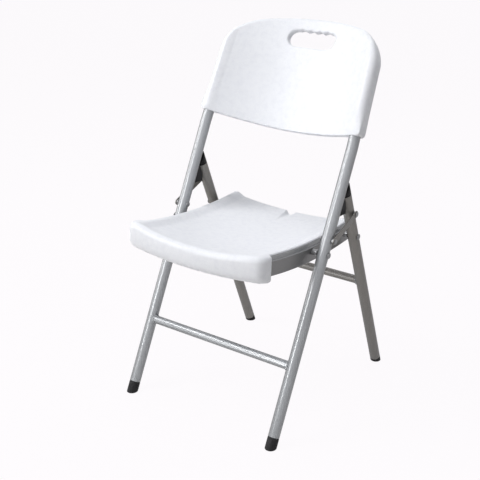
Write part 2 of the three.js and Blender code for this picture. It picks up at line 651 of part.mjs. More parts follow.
// The notch in the rear edge: a cone lying in the top face, that widens and deepens towards the back.
function rearNotch() {
  const past = 18; // how far the cone runs on behind the seat
  const length = NOTCH_LENGTH + past;
  const radius = (NOTCH_WIDTH / 2) * (length / NOTCH_LENGTH);
  const geometry = new THREE.ConeGeometry(radius, length, 20);
  geometry.rotateX(Math.PI).scale(1, 1, NOTCH_DEPTH / (NOTCH_WIDTH / 2));
  geometry.translate(0, SEAT_REAR_Y + past - length / 2, 0);
  const position = geometry.getAttribute('position');
  for (let i = 0; i < position.count; i++) {
    position.setZ(i, position.getZ(i) + seatTop(0, Math.min(position.getY(i), SEAT_REAR_Y)));
  }
  return toSolid(geometry);
}

// Round wells where the underside is pinched to the upper wall, spread evenly over the pocket.
function pinchWells() {
  const wells = [];
  const mouthBelow = 2; // how far a well's cutter stands out below the pocket's roof
  for (let i = 0; i < WELLS_EACH_WAY; i++) {
    for (let k = 0; k < WELLS_EACH_WAY; k++) {
      const x = THREE.MathUtils.lerp(-POCKET_X, POCKET_X, (i + 0.5) / WELLS_EACH_WAY);
      const y = THREE.MathUtils.lerp(POCKET_FRONT_Y, POCKET_REAR_Y, (k + 0.5) / WELLS_EACH_WAY);
      const height = WELL_DEPTH + mouthBelow;
      const geometry = new THREE.CylinderGeometry(...WELL_RADII, height, 8);
      geometry.rotateX(Math.PI / 2).translate(x, y, railTop(y) - SEAT_SLAB - mouthBelow + height / 2);
      wells.push(toSolid(geometry));
    }
  }
  return wells;
}

function railScrewPlaces() {
  const x = FLANGE_X + RAIL_FLANGE / 2 - 1;
  const rows = [
    RAIL_FRONT_Y + RAIL_FRONT_SCREW,
    seatPivot.x + RAIL_MIDDLE_SCREW,
    RAIL_REAR_Y - RAIL_REAR_SCREW,
  ];
  return [-1, 1].flatMap((side) => rows.map((y) => [side * x, y]));
}

const flangeBottom = (y) => railTop(y) - RAIL_HEIGHT;

function railScrewHole(x, y) {
  const low = flangeBottom(y);
  return rod('z', [x, y, 0], low - 8, low + RAIL_SCREW_LENGTH + CLEARANCE, SCREW_RADIUS + CLEARANCE, 10);
}

function railScrew(x, y) {
  const top = flangeBottom(y) - SCREW_SEAT;
  return join(
    rod('z', [x, y, 0], top - SCREW_HEAD_HEIGHT, top, SCREW_HEAD_RADIUS, 12),
    rod('z', [x, y, 0], top - 1, top + RAIL_SCREW_LENGTH, SCREW_RADIUS, 10),
  );
}

// ---------------------------------------------------------------- seat rails

// Pressed channel, open towards the seat: top flange, recessed band, step, tall face and lower flange.
function seatRail(side) {
  const t = RAIL_SHEET;
  const [face, band, flange] = [RAIL_X, BAND_X, FLANGE_X];
  const section = [
    [flange, 0], [band - 1, 0], [band, -1], [band, -RAIL_BAND],
    [face - 1.4, -RAIL_BAND], [face - 0.4, -RAIL_BAND - 0.5], [face, -RAIL_BAND - 1.6],
    [face, -RAIL_HEIGHT + 1.5], [face - 1.5, -RAIL_HEIGHT],
    [flange, -RAIL_HEIGHT], [flange, -RAIL_HEIGHT + t], [face - t, -RAIL_HEIGHT + t],
    [face - t, -RAIL_BAND - t], [band - t, -RAIL_BAND - t], [band - t, -t], [flange, -t],
  ].map(([x, z]) => [side * x, z]);
  const body = alongSeatCurve(section, RAIL_FRONT_Y, RAIL_REAR_Y);
  const bore = PIVOT_RADIUS + CLEARANCE;
  const through = side < 0 ? [-face - 2, -flange + 2] : [flange - 2, face + 2];
  const screws = railScrewPlaces().filter(([x]) => x * side > 0);
  return cut(
    body,
    rod('x', [0, seatPivot.x, seatPivot.y], ...through, bore, 14),
    rod('x', [0, rearPivot.x, rearPivot.y], ...through, bore, 14),
    ...screws.map(([x, y]) => railScrewHole(x, y)),
  );
}

// ---------------------------------------------------------------- legs, bars, feet

const acrossLeg = (side) => [side * LEG_X - LEG_R - 3, side * LEG_X + LEG_R + 3];

function frontLeg(side) {
  const holes = [
    rod('x', [0, 0, SEAT_PIVOT_AT], ...acrossLeg(side), PIVOT_RADIUS + CLEARANCE, 14),
    rod('x', [0, 0, LINK_PIVOT_AT], ...acrossLeg(side), LINK_PIN_RADIUS + CLEARANCE, 12),
    rod('y', [side * LEG_X, 0, STOP_PEG_AT], 0, LEG_R + 4, STOP_PEG_RADIUS + CLEARANCE, 12),
    ...BACK_SCREWS_AT.map((at) => (
      rod('y', [side * legInwards(at), 0, at], 0, LEG_R + 4, SCREW_RADIUS + CLEARANCE, 10)
    )),
  ];
  return cut(frontLegTube(side, LEG_R, LEG_WALL, FRONT_LEG_END), ...holes);
}

function rearLeg(side) {
  return cut(
    straightTube(side * LEG_X, REAR_LEG_START, REAR_LEG_END, LEG_R, LEG_WALL),
    rod('x', [0, 0, REAR_PIVOT_AT], ...acrossLeg(side), PIVOT_RADIUS + CLEARANCE, 14),
  );
}

// A bar between two legs, its ends coped to fit round them.
function crossbar(along) {
  const saddles = [-1, 1].map((side) => (
    rod('z', [side * LEG_X, 0, 0], along - 60, along + 60, LEG_R + CLEARANCE, 24)
  ));
  return cut(
    rod('x', [0, 0, along], -LEG_X, LEG_X, BAR_R, 20),
    rod('x', [0, 0, along], -LEG_X - 1, LEG_X + 1, BAR_R - BAR_WALL, 20),
    ...saddles,
  );
}

// Rubber foot plugged into the lower end of a leg, cut level with the floor. Made in the chair's own frame.
function foot(side, lean, atY, legStart) {
  const tilt = new THREE.Matrix4().makeRotationX(-radians(lean)).setPosition(0, atY, 0);
  const insertR = LEG_R - LEG_WALL - CLEARANCE;
  const tip = new THREE.LatheGeometry([
    [0, -20], [LEG_R, -20], [LEG_R, legStart - CLEARANCE], [insertR, legStart - CLEARANCE],
    [insertR, legStart + FOOT_INSERT - PLUG_CHAMFER], [insertR - PLUG_CHAMFER, legStart + FOOT_INSERT],
    [0, legStart + FOOT_INSERT],
  ].map(([r, z]) => new THREE.Vector2(r, z)), 24);
  tip.rotateX(Math.PI / 2).translate(side * LEG_X, 0, 0).applyMatrix4(tilt);
  const below = block([side * LEG_X - 40, atY - 80, -60], [side * LEG_X + 40, atY + 80, 0]);
  return cut(toSolid(tip), below);
}

// ---------------------------------------------------------------- plugs, stops, links, rivets

// Black plug in the upper end of a rear leg. Its end is cut flat to rest against the front leg.
function topPlug(side) {
  const at = [side * LEG_X, 0, 0];
  const body = join(
    rod('z', at, REAR_LEG_END + CLEARANCE, REAR_LEG_END + 60, LEG_R, 24),
    rod('z', at, REAR_LEG_END - PLUG_INSERT, REAR_LEG_END + 4, LEG_R - LEG_WALL - CLEARANCE, 24),
  );
  return cut(body, frontLegSpace(side));
}

// The space ahead of the front leg's rear surface, as the rear frame sees it.
const toRearFrame = new THREE.Matrix4().makeRotationX(-radians(REAR_LEAN))
  .multiply(new THREE.Matrix4().makeTranslation(0, -FOOT_SPREAD, 0))
  .multiply(new THREE.Matrix4().makeRotationX(-radians(FRONT_LEAN)));

function frontLegSpace(side) {
  const [depth, length] = [200, 400];
  const geometry = new THREE.BoxGeometry(80, depth, length);
  geometry.translate(side * LEG_X, SOCKET_R - depth / 2, STOP_PEG_AT + length / 4).applyMatrix4(toRearFrame);
  return toSolid(geometry);
}

// Black wedge between the front leg and the rear leg of the open chair, pegged into the front leg.
function stopBlock(side) {
  const frontAt = (z) => new THREE.Vector2(onFrontLeg(z / frontUp.y).x, z);
  const rear = STOP_GAPS.map(([share, gap]) => {
    const z = STOP_LOW + share * (STOP_HIGH - STOP_LOW);
    return new THREE.Vector2(onRearLeg(z / rearUp.y).x - LEG_R / rearUp.y - gap, z);
  });
  const corners = [frontAt(STOP_LOW), ...rear, frontAt(STOP_HIGH)];
  const wedge = sidePlate(corners, side * LEG_X - STOP_WIDTH / 2, side * LEG_X + STOP_WIDTH / 2);
  const peg = new THREE.CylinderGeometry(STOP_PEG_RADIUS, STOP_PEG_RADIUS, STOP_PEG_LENGTH, 14);
  peg.translate(side * LEG_X, LEG_R, 0).translate(0, 0, STOP_PEG_AT).rotateX(-radians(FRONT_LEAN));
  return join(cut(wedge, frontLegCylinder(side, SOCKET_R)), toSolid(peg));
}

function frontLegCylinder(side, radius) {
  const geometry = new THREE.CylinderGeometry(radius, radius, 700, 24);
  geometry.rotateX(Math.PI / 2).translate(side * LEG_X, 0, 350).rotateX(-radians(FRONT_LEAN));
  return toSolid(geometry);
}

// Flat link with round ends between its two pins.
function link(side) {
  const along = linkRear.clone().sub(linkPivot);
  const shape = new THREE.Shape();
  const angle = along.angle();
  const r = LINK_WIDTH / 2;
  shape.absarc(linkRear.x, linkRear.y, r, angle - Math.PI / 2, angle + Math.PI / 2);
  shape.absarc(linkPivot.x, linkPivot.y, r, angle + Math.PI / 2, angle + 1.5 * Math.PI);
  const from = Math.min(side * LINK_INSIDE_X, side * (LINK_INSIDE_X + LINK_THICKNESS));
  const plate = sidePlate(shape.getPoints(9), from, from + LINK_THICKNESS);
  const bore = LINK_PIN_RADIUS + CLEARANCE;
  return cut(
    plate,
    rod('x', [0, linkPivot.x, linkPivot.y], from - 2, from + LINK_THICKNESS + 2, bore, 12),
    rod('x', [0, linkRear.x, linkRear.y], from - 2, from + LINK_THICKNESS + 2, bore, 12),
  );
}

// A rivet's domed head, as places along its axis and radii.
const domed = (x, radius, height) => [
  [x, radius - 0.4],
  [x + 0.35 * height, radius],
  [x + 0.75 * height, radius * 0.72],
  [x + height, radius * 0.3],
];

// Rivet through a rail, its spacer and a leg.
function pivotRivet(side, at) {
  const inner = RAIL_X - RAIL_SHEET - CLEARANCE;
  const outer = LEG_OUTSIDE_X + CLEARANCE;
  const head = INNER_HEAD_RADIUS;
  return turned(side, at.x, at.y, [
    [inner - INNER_HEAD_HEIGHT, head - 0.6], [inner - 1, head], [inner, head],
    [inner, PIVOT_RADIUS], [outer, PIVOT_RADIUS], ...domed(outer, HEAD_RADIUS, HEAD_HEIGHT),
  ]);
}

function pivotSpacer(side, at) {
  const from = RAIL_X + CLEARANCE;
  const ring = turned(side, at.x, at.y, [[from, SPACER_RADIUS], [from + SPACER_LENGTH, SPACER_RADIUS]]);
  return cut(ring, turned(side, at.x, at.y, [
    [from - 2, PIVOT_RADIUS + CLEARANCE], [from + SPACER_LENGTH + 2, PIVOT_RADIUS + CLEARANCE],
  ]));
}

// Shouldered rivet that holds the link off the leg.
// The front one passes through the leg. The rear one is a stud.
function linkRivet(side, at, throughLeg) {
  const shoulder = LEG_OUTSIDE_X + CLEARANCE;
  const plate = LINK_INSIDE_X - CLEARANCE;
  const outer = LINK_INSIDE_X + LINK_THICKNESS + CLEARANCE;
  const inner = LEG_INSIDE_X - CLEARANCE;
  const [head, pin] = [LINK_HEAD_RADIUS, LINK_PIN_RADIUS];
  const shank = [[inner - LINK_INNER_HEAD_HEIGHT, head - 0.6], [inner, head], [inner, pin], [shoulder, pin]];
  return turned(side, at.x, at.y, [
    ...(throughLeg ? shank : []), [shoulder, head], [plate, head], [plate, pin], [outer, pin],
    ...domed(outer, head, LINK_HEAD_HEIGHT),
  ]);
}

// Screw through the rear wall of a back panel's socket into the leg. Made in the front legs' plane.
function backScrew(side, at) {
  const x = side * legInwards(at);
  const seatAt = backLean(at) + ROLL_R + SCREW_SEAT;
  return join(
    rod('y', [x, 0, at], seatAt, seatAt + SCREW_HEAD_HEIGHT, SCREW_HEAD_RADIUS, 12),
    rod('y', [x, 0, at], LEG_R - LEG_WALL - 4, seatAt + 1, SCREW_RADIUS, 10),
  );
}

// ---------------------------------------------------------------- assembly

const group = new THREE.Group();
group.name = 'folding_chair';
const chair = new THREE.Group();
chair.position.y = -CHAIR_MIDDLE_Y;
group.add(chair);

const frontFrame = new THREE.Group();
frontFrame.rotation.x = -radians(FRONT_LEAN);
chair.add(frontFrame);

const rearFrame = new THREE.Group();
rearFrame.position.y = FOOT_SPREAD;
rearFrame.rotation.x = radians(REAR_LEAN);
chair.add(rearFrame);

addPiece(frontFrame, 'back_panel', backPanel(), whitePlastic);
addPiece(frontFrame, 'front_crossbar', crossbar(FRONT_CROSSBAR_AT), greyPaint);
addPiece(rearFrame, 'rear_crossbar', crossbar(REAR_CROSSBAR_AT), greyPaint);
addPiece(chair, 'seat_panel', seatPanel(), whitePlastic);

for (const side of [-1, 1]) {
  const name = sideName(side);
  addPiece(frontFrame, `front_leg_${name}`, frontLeg(side), greyPaint);
  addPiece(chair, `front_foot_${name}`, foot(side, FRONT_LEAN, 0, FRONT_LEG_START), darkRubber);
  addPiece(chair, `stop_block_${name}`, stopBlock(side), blackPlastic);
  addPiece(chair, `seat_pivot_rivet_${name}`, pivotRivet(side, seatPivot), bareSteel);
  addPiece(chair, `seat_pivot_spacer_${name}`, pivotSpacer(side, seatPivot), bareSteel);
  addPiece(chair, `link_front_rivet_${name}`, linkRivet(side, linkPivot, true), bareSteel);
  BACK_SCREWS_AT.forEach((at, i) => {
    addPiece(frontFrame, `back_screw_${name}_${i + 1}`, backScrew(side, at), bareSteel);
  });

  addPiece(chair, `seat_rail_${name}`, seatRail(side), greyPaint);
  railScrewPlaces().filter(([x]) => x * side > 0).forEach(([x, y], i) => {
    addPiece(chair, `rail_screw_${name}_${i + 1}`, railScrew(x, y), bareSteel);
  });

  addPiece(chair, `link_${name}`, link(side), greyPaint);
  addPiece(chair, `link_rear_rivet_${name}`, linkRivet(side, linkRear, false), bareSteel);

  addPiece(rearFrame, `rear_leg_${name}`, rearLeg(side), greyPaint);
  addPiece(rearFrame, `top_plug_${name}`, topPlug(side), blackPlastic);
  addPiece(chair, `rear_foot_${name}`, foot(side, -REAR_LEAN, FOOT_SPREAD, REAR_LEG_START), darkRubber);
  addPiece(chair, `rear_pivot_rivet_${name}`, pivotRivet(side, rearPivot), bareSteel);
  addPiece(chair, `rear_pivot_spacer_${name}`, pivotSpacer(side, rearPivot), bareSteel);
}

export default group;
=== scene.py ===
import math

import bmesh
import bpy
from mathutils import Matrix, Vector


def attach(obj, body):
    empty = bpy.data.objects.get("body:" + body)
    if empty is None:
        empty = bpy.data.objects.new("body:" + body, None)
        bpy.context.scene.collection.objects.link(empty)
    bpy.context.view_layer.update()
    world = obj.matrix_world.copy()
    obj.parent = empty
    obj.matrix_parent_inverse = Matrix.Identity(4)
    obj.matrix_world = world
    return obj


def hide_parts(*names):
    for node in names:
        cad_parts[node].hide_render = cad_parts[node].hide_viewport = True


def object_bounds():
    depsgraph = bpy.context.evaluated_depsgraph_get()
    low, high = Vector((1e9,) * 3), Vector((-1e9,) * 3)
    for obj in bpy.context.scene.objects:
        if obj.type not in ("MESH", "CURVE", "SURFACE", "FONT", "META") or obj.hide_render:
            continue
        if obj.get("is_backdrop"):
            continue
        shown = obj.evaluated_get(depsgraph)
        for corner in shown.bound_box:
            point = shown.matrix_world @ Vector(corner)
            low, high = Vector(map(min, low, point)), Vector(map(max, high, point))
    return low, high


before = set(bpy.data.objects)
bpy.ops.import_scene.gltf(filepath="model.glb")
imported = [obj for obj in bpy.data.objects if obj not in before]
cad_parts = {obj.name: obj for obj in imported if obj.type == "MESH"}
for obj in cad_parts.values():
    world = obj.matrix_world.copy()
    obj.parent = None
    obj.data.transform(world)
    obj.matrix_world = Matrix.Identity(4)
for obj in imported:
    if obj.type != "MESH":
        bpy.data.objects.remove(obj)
frame_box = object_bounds()

# ---------------------------------------------------------------- sizes, in millimetres
# x runs to the right from the middle, y backwards from the line of the front feet, z up from the floor.
# Heights on a leg are measured along its axis from the floor.

MM = 0.001
SIDES = (-1, 1)
SIDE_NAME = {-1: "left", 1: "right"}
SMOOTH_ANGLE = 35  # degrees: edges that turn more than this stay sharp
CLEARANCE = 0.3

LEG_X = 192
LEG_R = 12.5
LEG_WALL = 1.2
BAR_R = 9.5
BAR_WALL = 1
FOOT_SPREAD = 495  # front feet to rear feet
FRONT_LEAN = math.radians(24.2)
LEGS_MEET_HEIGHT = 530.64  # where the front and rear legs' axes cross in the side view
REAR_LEAN = math.atan(FOOT_SPREAD / LEGS_MEET_HEIGHT - math.tan(FRONT_LEAN))
CHAIR_MIDDLE_Y = 231.955  # the frame's origin

FRONT_LEG_START = 24
REAR_LEG_START = 14
LEG_END_APART = 28  # from a rear leg's upper end to the front leg's axis
REAR_LEG_END = (FOOT_SPREAD * math.cos(FRONT_LEAN) - LEG_END_APART) / math.sin(FRONT_LEAN + REAR_LEAN)
FRONT_LEG_BEND = 655  # above it the front legs close in by the taper
FRONT_LEG_END = 822
FRONT_LEG_TAPER = 7
LEG_BEND_R = 200
FRONT_CROSSBAR_AT = 176
REAR_CROSSBAR_AT = 288
FOOT_INSERT = 18
PLUG_INSERT = 24

# Pivots of the four-bar linkage, as (y, z) in the side view.
SEAT_PIVOT = (173.026, 385)
REAR_PIVOT = (306.95, 389)
LINK_PIVOT = (186.059, 414)
LINK_REAR = (277.037, 450.878)
PIVOT_R = 4  # of the pivot rivets' shanks
LINK_PIN_R = 3
LINK_THICKNESS = 2.5
LINK_WIDTH = 15
LINK_STANDOFF = 4  # from the leg's side to the link
SPACER_LENGTH = 12.9
SPACER_R = 7

STOP_HIGH = REAR_LEG_END * math.cos(REAR_LEAN) - 6
STOP_LOW = STOP_HIGH - 35
STOP_WIDTH = 11
STOP_GAPS = [(0, 8.9), (0.3, 4.5), (0.66, 1.7), (1, 0.6)]  # share of its height, room to the rear leg
STOP_PEG_R = 3
STOP_PEG_LENGTH = 10
STOP_PEG_AT = (STOP_LOW + 12) / math.cos(FRONT_LEAN)

RAIL_X = LEG_X - LEG_R - SPACER_LENGTH - 2 * CLEARANCE  # the rail's outer face
RAIL_SHEET = 1.6
RAIL_HEIGHT = 42
RAIL_STEP = 4  # how far the upper band stands back from the outer face
RAIL_BAND = 9
RAIL_RISE = 18.5  # from the front pivots up to the top edge at its lowest
RAIL_BEND = 1.9
BAND_X = RAIL_X - RAIL_STEP
FLANGE_X = BAND_X - 12

SEAT_FRONT_BOW = 10  # the front edge's middle ahead of its ends
SEAT_REAR_BOW = 8
SEAT_FRONT_ROUND = 22
SEAT_REAR_ROUND = 8
SEAT_FRONT_Y = SEAT_PIVOT[0] - 218
SEAT_REAR_Y = SEAT_PIVOT[0] + 188
SEAT_SIDE_X = BAND_X - 2
NOSE_X = LEG_X - LEG_R - 5
NOSE_REAR_Y = SEAT_FRONT_Y + 52
NOSE_DEPTH = 56
NOSE_SAG = 10  # how much deeper the nose hangs in the middle
NOSE_HEEL = 16  # rounding of the nose's lower rear edge
NOSE_RIMS = (20, 13)  # rounding of the lower and the upper edge
SEAT_RIMS = (5, 2.8)
SEAT_LIP = 3  # the side edges above the rails
SEAT_DISH = 14.5  # depth of the saddle across the middle
SEAT_BASIN = 6.5  # depth of the basin inside the nose and the side edges
BASIN_WALL = 26  # width of its sloping wall
SEAT_FRONT_RISE = 30  # of the side curve, from its lowest place to its end
SEAT_REAR_RISE = 6.5
SEAT_LOW_BEHIND = 57  # from the front pivots to the saddle's lowest place
SEAT_SLAB = 27  # from the rails' top edge down to the pocket's roof
NOTCH_LENGTH = 78
NOTCH_WIDTH = 19
NOTCH_DEPTH = 8.5
NOTCH_RECESS = 5  # how far forward the rear edge runs at the notch
RAIL_FRONT_Y = NOSE_REAR_Y + CLEARANCE
RAIL_REAR_Y = SEAT_REAR_Y - SEAT_REAR_BOW - 11
RAIL_SCREWS_Y = (RAIL_FRONT_Y + 54, SEAT_PIVOT[0] + 40, RAIL_REAR_Y - 19)
POCKET_X = FLANGE_X - 10
POCKET_FRONT_Y = NOSE_REAR_Y + 16
POCKET_REAR_Y = SEAT_REAR_Y - 25
WELLS_EACH_WAY = 4
WELL_DEPTH = 7
WELL_R = (7, 12)  # at a well's floor and at its mouth

# The back panel's heights are along the front legs.
BACK_BOTTOM = 679
BACK_TOP = 939.6
BACK_ARCH = 32  # the top edge's middle above the corners
BACK_SAG = 5.5  # the lower edge's middle below its ends
BACK_CORNER = 80
BACK_CORNER_RISE = 13
BACK_LOWER_ROUND = 10
BACK_LEAN = 12  # how far the top leans back from the legs' line
BACK_WALL = 3.2
BACK_HOLLOW = 64  # how far the middle stands behind the front of the side rolls
BACK_THICKNESS = 17
BACK_RIM = 2.6
ROLL_R = LEG_R + CLEARANCE + BACK_WALL  # the rolled sides that hold the legs
ROLL_SHARE = 0.4  # how much of a side roll stands out of the hollow front
SLOT_WIDTH = 122
SLOT_HEIGHT = 38
SLOT_BELOW_TOP = 34
SLOT_FINGERS = 4
SLOT_SCALLOP = 3
SLOT_RIMS = (5, 3.6)
BACK_SCREWS_AT = (712, 800)
SCREW_SEAT = 0.7  # from a panel or flange to a screw head's underside


# ---------------------------------------------------------------- places on the chair

def on_chair(x, y, z):
    """A point given from the front feet's line, in the frame's metres."""
    return Vector((x * MM, (y - CHAIR_MIDDLE_Y) * MM, z * MM))


def on_front(x, behind, along):
    """A point given across, behind and along the front legs."""
    c, s = math.cos(FRONT_LEAN), math.sin(FRONT_LEAN)
    return on_chair(x, along * s + behind * c, along * c - behind * s)


def on_rear(x, ahead, along):
    """A point given across, ahead of and along the rear legs."""
    c, s = math.cos(REAR_LEAN), math.sin(REAR_LEAN)
    return on_chair(x, FOOT_SPREAD - along * s - ahead * c, along * c - ahead * s)


def leg_inwards(along):
    """How far the front legs' axes stand from the middle. They close in above a bend."""
    return LEG_X - FRONT_LEG_TAPER * max((along - FRONT_LEG_BEND) / (FRONT_LEG_END - FRONT_LEG_BEND), 0)


def back_lean(along):
    """How far the back panel's top leans away from the legs' line."""
    return BACK_LEAN * max((along - FRONT_LEG_END) / (BACK_TOP - FRONT_LEG_END), 0) ** 2


def rail_top(y):
    """Top edge of the seat's rails in the side view."""
    low = SEAT_PIVOT[0] + SEAT_LOW_BEHIND
    if y < low:
        rise = SEAT_FRONT_RISE * ((low - y) / (low - SEAT_FRONT_Y)) ** 2
    else:
        rise = SEAT_REAR_RISE * ((y - low) / (SEAT_REAR_Y - low)) ** 2
    return SEAT_PIVOT[1] + RAIL_RISE + rise


def smoothstep(value, low, high):
    """0 below low, 1 above high and a smooth ramp between them."""
    t = min(max((value - low) / (high - low), 0), 1)
    return t * t * (3 - 2 * t)


def soft_min(a, b, width):
    """The smaller of two values, with the crease between them rounded over a width."""
    return -soft_max(-a, -b, width)


def soft_max(a, b, width):
    """The larger of two values, with the crease between them rounded over a width."""
    h = max(width - abs(a - b), 0) / width
    return max(a, b) + h * h * width / 4


# ---------------------------------------------------------------- mesh tools

def merge_doubles(mesh):
    """Merges points that lie on each other, and turns the faces outwards."""
    form = bmesh.new()
    form.from_mesh(mesh)
    bmesh.ops.remove_doubles(form, verts=form.verts, dist=1e-6)
    bmesh.ops.recalc_face_normals(form, faces=form.faces)
    form.to_mesh(mesh)
    form.free()


def new_piece(name, points, faces, material, smooth_angle=SMOOTH_ANGLE):
    mesh = bpy.data.meshes.new(name)
    mesh.from_pydata([tuple(p) for p in points], [], faces)
    merge_doubles(mesh)
    piece = bpy.data.objects.new(name, mesh)
    bpy.context.scene.collection.objects.link(piece)
    mesh.materials.append(material)
    shade(mesh, smooth_angle)
    return piece


def shade(mesh, smooth_angle):
    """Smooth shading with sharp edges above an angle."""
    mesh.polygons.foreach_set("use_smooth", [True] * len(mesh.polygons))
    mesh.set_sharp_from_angle(angle=math.radians(smooth_angle))


def ring_faces(count, rings, closed=False):
    """Quads between neighbouring rings of points. A closed run joins the last ring to the first."""
    faces = []
    for r in range(rings if closed else rings - 1):
        a, b = r * count, ((r + 1) % rings) * count
        for i in range(count):
            j = (i + 1) % count
            faces.append((a + i, a + j, b + j, b + i))
    return faces


def lofted(name, rings, material, smooth_angle=SMOOTH_ANGLE):
    """A closed solid through a run of rings, with flat ends."""
    count = len(rings[0])
    points = [p for ring in rings for p in ring]
    faces = ring_faces(count, len(rings))
    faces.append(tuple(range(count)))
    faces.append(tuple(reversed(range(len(points) - count, len(points)))))
    return new_piece(name, points, faces, material, smooth_angle)


def turned(name, place, profile, material, sides=40, smooth_angle=SMOOTH_ANGLE):
    """A turned solid. The profile lists (distance, radius), and place(a, b, distance) gives the point."""
    rings = []
    for distance, radius in profile:
        turns = [2 * math.pi * k / sides for k in range(sides)]
        rings.append([place(radius * math.cos(t), radius * math.sin(t), distance) for t in turns])
    return lofted(name, rings, material, smooth_angle)


def apply_modifiers(piece, smooth_angle=SMOOTH_ANGLE):
    """Turns a piece's modifiers into its plain mesh."""
    graph = bpy.context.evaluated_depsgraph_get()
    mesh = bpy.data.meshes.new_from_object(piece.evaluated_get(graph), depsgraph=graph)
    piece.modifiers.clear()
    old = piece.data
    piece.data = mesh
    bpy.data.meshes.remove(old)
    shade(mesh, smooth_angle)
    return piece


def combine(piece, operation, others, smooth_angle=SMOOTH_ANGLE):
    """Joins solids to a piece or cuts them out of it, and deletes them."""
    for other in others:
        modifier = piece.modifiers.new("combine", "BOOLEAN")
        modifier.operation = operation
        modifier.solver = "EXACT"
        modifier.object = other
        apply_modifiers(piece, smooth_angle)
        bpy.data.objects.remove(other)
    return piece


def cut_away(piece, cutters, smooth_angle=SMOOTH_ANGLE):
    return combine(piece, "DIFFERENCE", cutters, smooth_angle)


def soften_edges(piece, width, segments=2, angle=30):
    """Rounds a piece's sharp edges by a width in millimetres."""
    modifier = piece.modifiers.new("soft edges", "BEVEL")
    modifier.width = width * MM
    modifier.segments = segments
    modifier.limit_method = "ANGLE"
    modifier.angle_limit = math.radians(angle)
    modifier.harden_normals = False
    return apply_modifiers(piece)


def clipped(piece, point, normal):
    """Cuts a piece off at a plane, on the side the normal points to, and closes it."""
    form = bmesh.new()
    form.from_mesh(piece.data)
    geometry = form.verts[:] + form.edges[:] + form.faces[:]
    cut = bmesh.ops.bisect_plane(form, geom=geometry, plane_co=point, plane_no=normal, clear_outer=True)
    edges = [part for part in cut["geom_cut"] if isinstance(part, bmesh.types.BMEdge)]
    bmesh.ops.edgenet_fill(form, edges=edges)
    bmesh.ops.recalc_face_normals(form, faces=form.faces)
    form.to_mesh(piece.data)
    form.free()
    shade(piece.data, SMOOTH_ANGLE)
    return piece


def stands_for(piece, body, slot, *nodes):
    """Lets a finished piece ride its body in place of the CAD nodes named. The slot argument is not used."""
    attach(piece, body)
    if nodes:
        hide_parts(*nodes)
    return piece


# ---------------------------------------------------------------- node trees

def add_node(tree, kind, settings=None, **inputs):
    """A node with its settings and inputs. An input is a value or another node's output socket.

    An input is given by its name, or by its number after an i where names repeat or hold blanks.
    """
    node = tree.nodes.new(kind)
    for name, value in (settings or {}).items():
        setattr(node, name, value)
    for name, value in inputs.items():
        numbered = name[0] == "i" and name[1:].isdigit()
        socket = node.inputs[int(name[1:]) if numbered else name]
        if isinstance(value, bpy.types.NodeSocket):
            tree.links.new(value, socket)
        else:
            socket.default_value = value
    return node


def new_group(name, kind, inputs, outputs):
    """A node group with named sockets. Each input is (name, socket type, value)."""
    tree = bpy.data.node_groups.new(name, kind)
    for label, socket_type, value in inputs:
        socket = tree.interface.new_socket(label, in_out="INPUT", socket_type=socket_type)
        if value is not None:
            socket.default_value = value
    for label, socket_type in outputs:
        tree.interface.new_socket(label, in_out="OUTPUT", socket_type=socket_type)
    return tree, tree.nodes.new("NodeGroupInput"), tree.nodes.new("NodeGroupOutput")


def grown(name, base, tree, values, slot_body_nodes):
    """Runs a geometry tree on a base mesh or curve and keeps the result as a plain mesh piece."""
    piece = bpy.data.objects.new(name, base)
    bpy.context.scene.collection.objects.link(piece)
    modifier = piece.modifiers.new(tree.name, "NODES")
    modifier.node_group = tree
    for item in tree.interface.items_tree:
        if item.item_type == "SOCKET" and item.in_out == "INPUT" and item.name in values:
            modifier[item.identifier] = values[item.name]
    graph = bpy.context.evaluated_depsgraph_get()
    mesh = bpy.data.meshes.new_from_object(piece.evaluated_get(graph), depsgraph=graph)
    bpy.data.objects.remove(piece)
    result = bpy.data.objects.new(name, mesh)
    bpy.context.scene.collection.objects.link(result)
    shade(mesh, SMOOTH_ANGLE)
    slot, body, nodes = slot_body_nodes
    return stands_for(result, body, slot, *nodes)


def route_curve(name, points):
    """A poly curve through points, for the tube tree."""
    curve = bpy.data.curves.new(name, "CURVE")
    curve.dimensions = "3D"
    spline = curve.splines.new("POLY")
    spline.points.add(len(points) - 1)
    for point, place in zip(spline.points, points):
        point.co = (*place, 1)
    return curve


def tube_tree():
    """The skin of a round tube along a curve, with a rounded bend at each corner."""
    tree, given, result = new_group("round_tube", "GeometryNodeTree", [
        ("Route", "NodeSocketGeometry", None), ("Radius", "NodeSocketFloat", 0.0125),
        ("Bend radius", "NodeSocketFloat", 0.2), ("Sides", "NodeSocketInt", 48),
        ("Finish", "NodeSocketMaterial", None),
    ], [("Tube", "NodeSocketGeometry")])
    bends = add_node(tree, "GeometryNodeFilletCurve", {"mode": "POLY"},
                     Curve=given.outputs["Route"], Count=6, Radius=given.outputs["Bend radius"])
    section = add_node(tree, "GeometryNodeCurvePrimitiveCircle", None,
                       Resolution=given.outputs["Sides"], Radius=given.outputs["Radius"])
    skin = add_node(tree, "GeometryNodeCurveToMesh", None,
                    i0=bends.outputs["Curve"], i1=section.outputs["Curve"])
    finish_tree(tree, skin.outputs["Mesh"], given, result)
    return tree


def finish_tree(tree, geometry, given, result):
    """The end that every tree has: plain geometry with one finish."""
    real = add_node(tree, "GeometryNodeRealizeInstances", None, Geometry=geometry)
    finished = add_node(tree, "GeometryNodeSetMaterial", None,
                        Geometry=real.outputs["Geometry"], Material=given.outputs["Finish"])
    tree.links.new(finished.outputs["Geometry"], result.inputs[0])


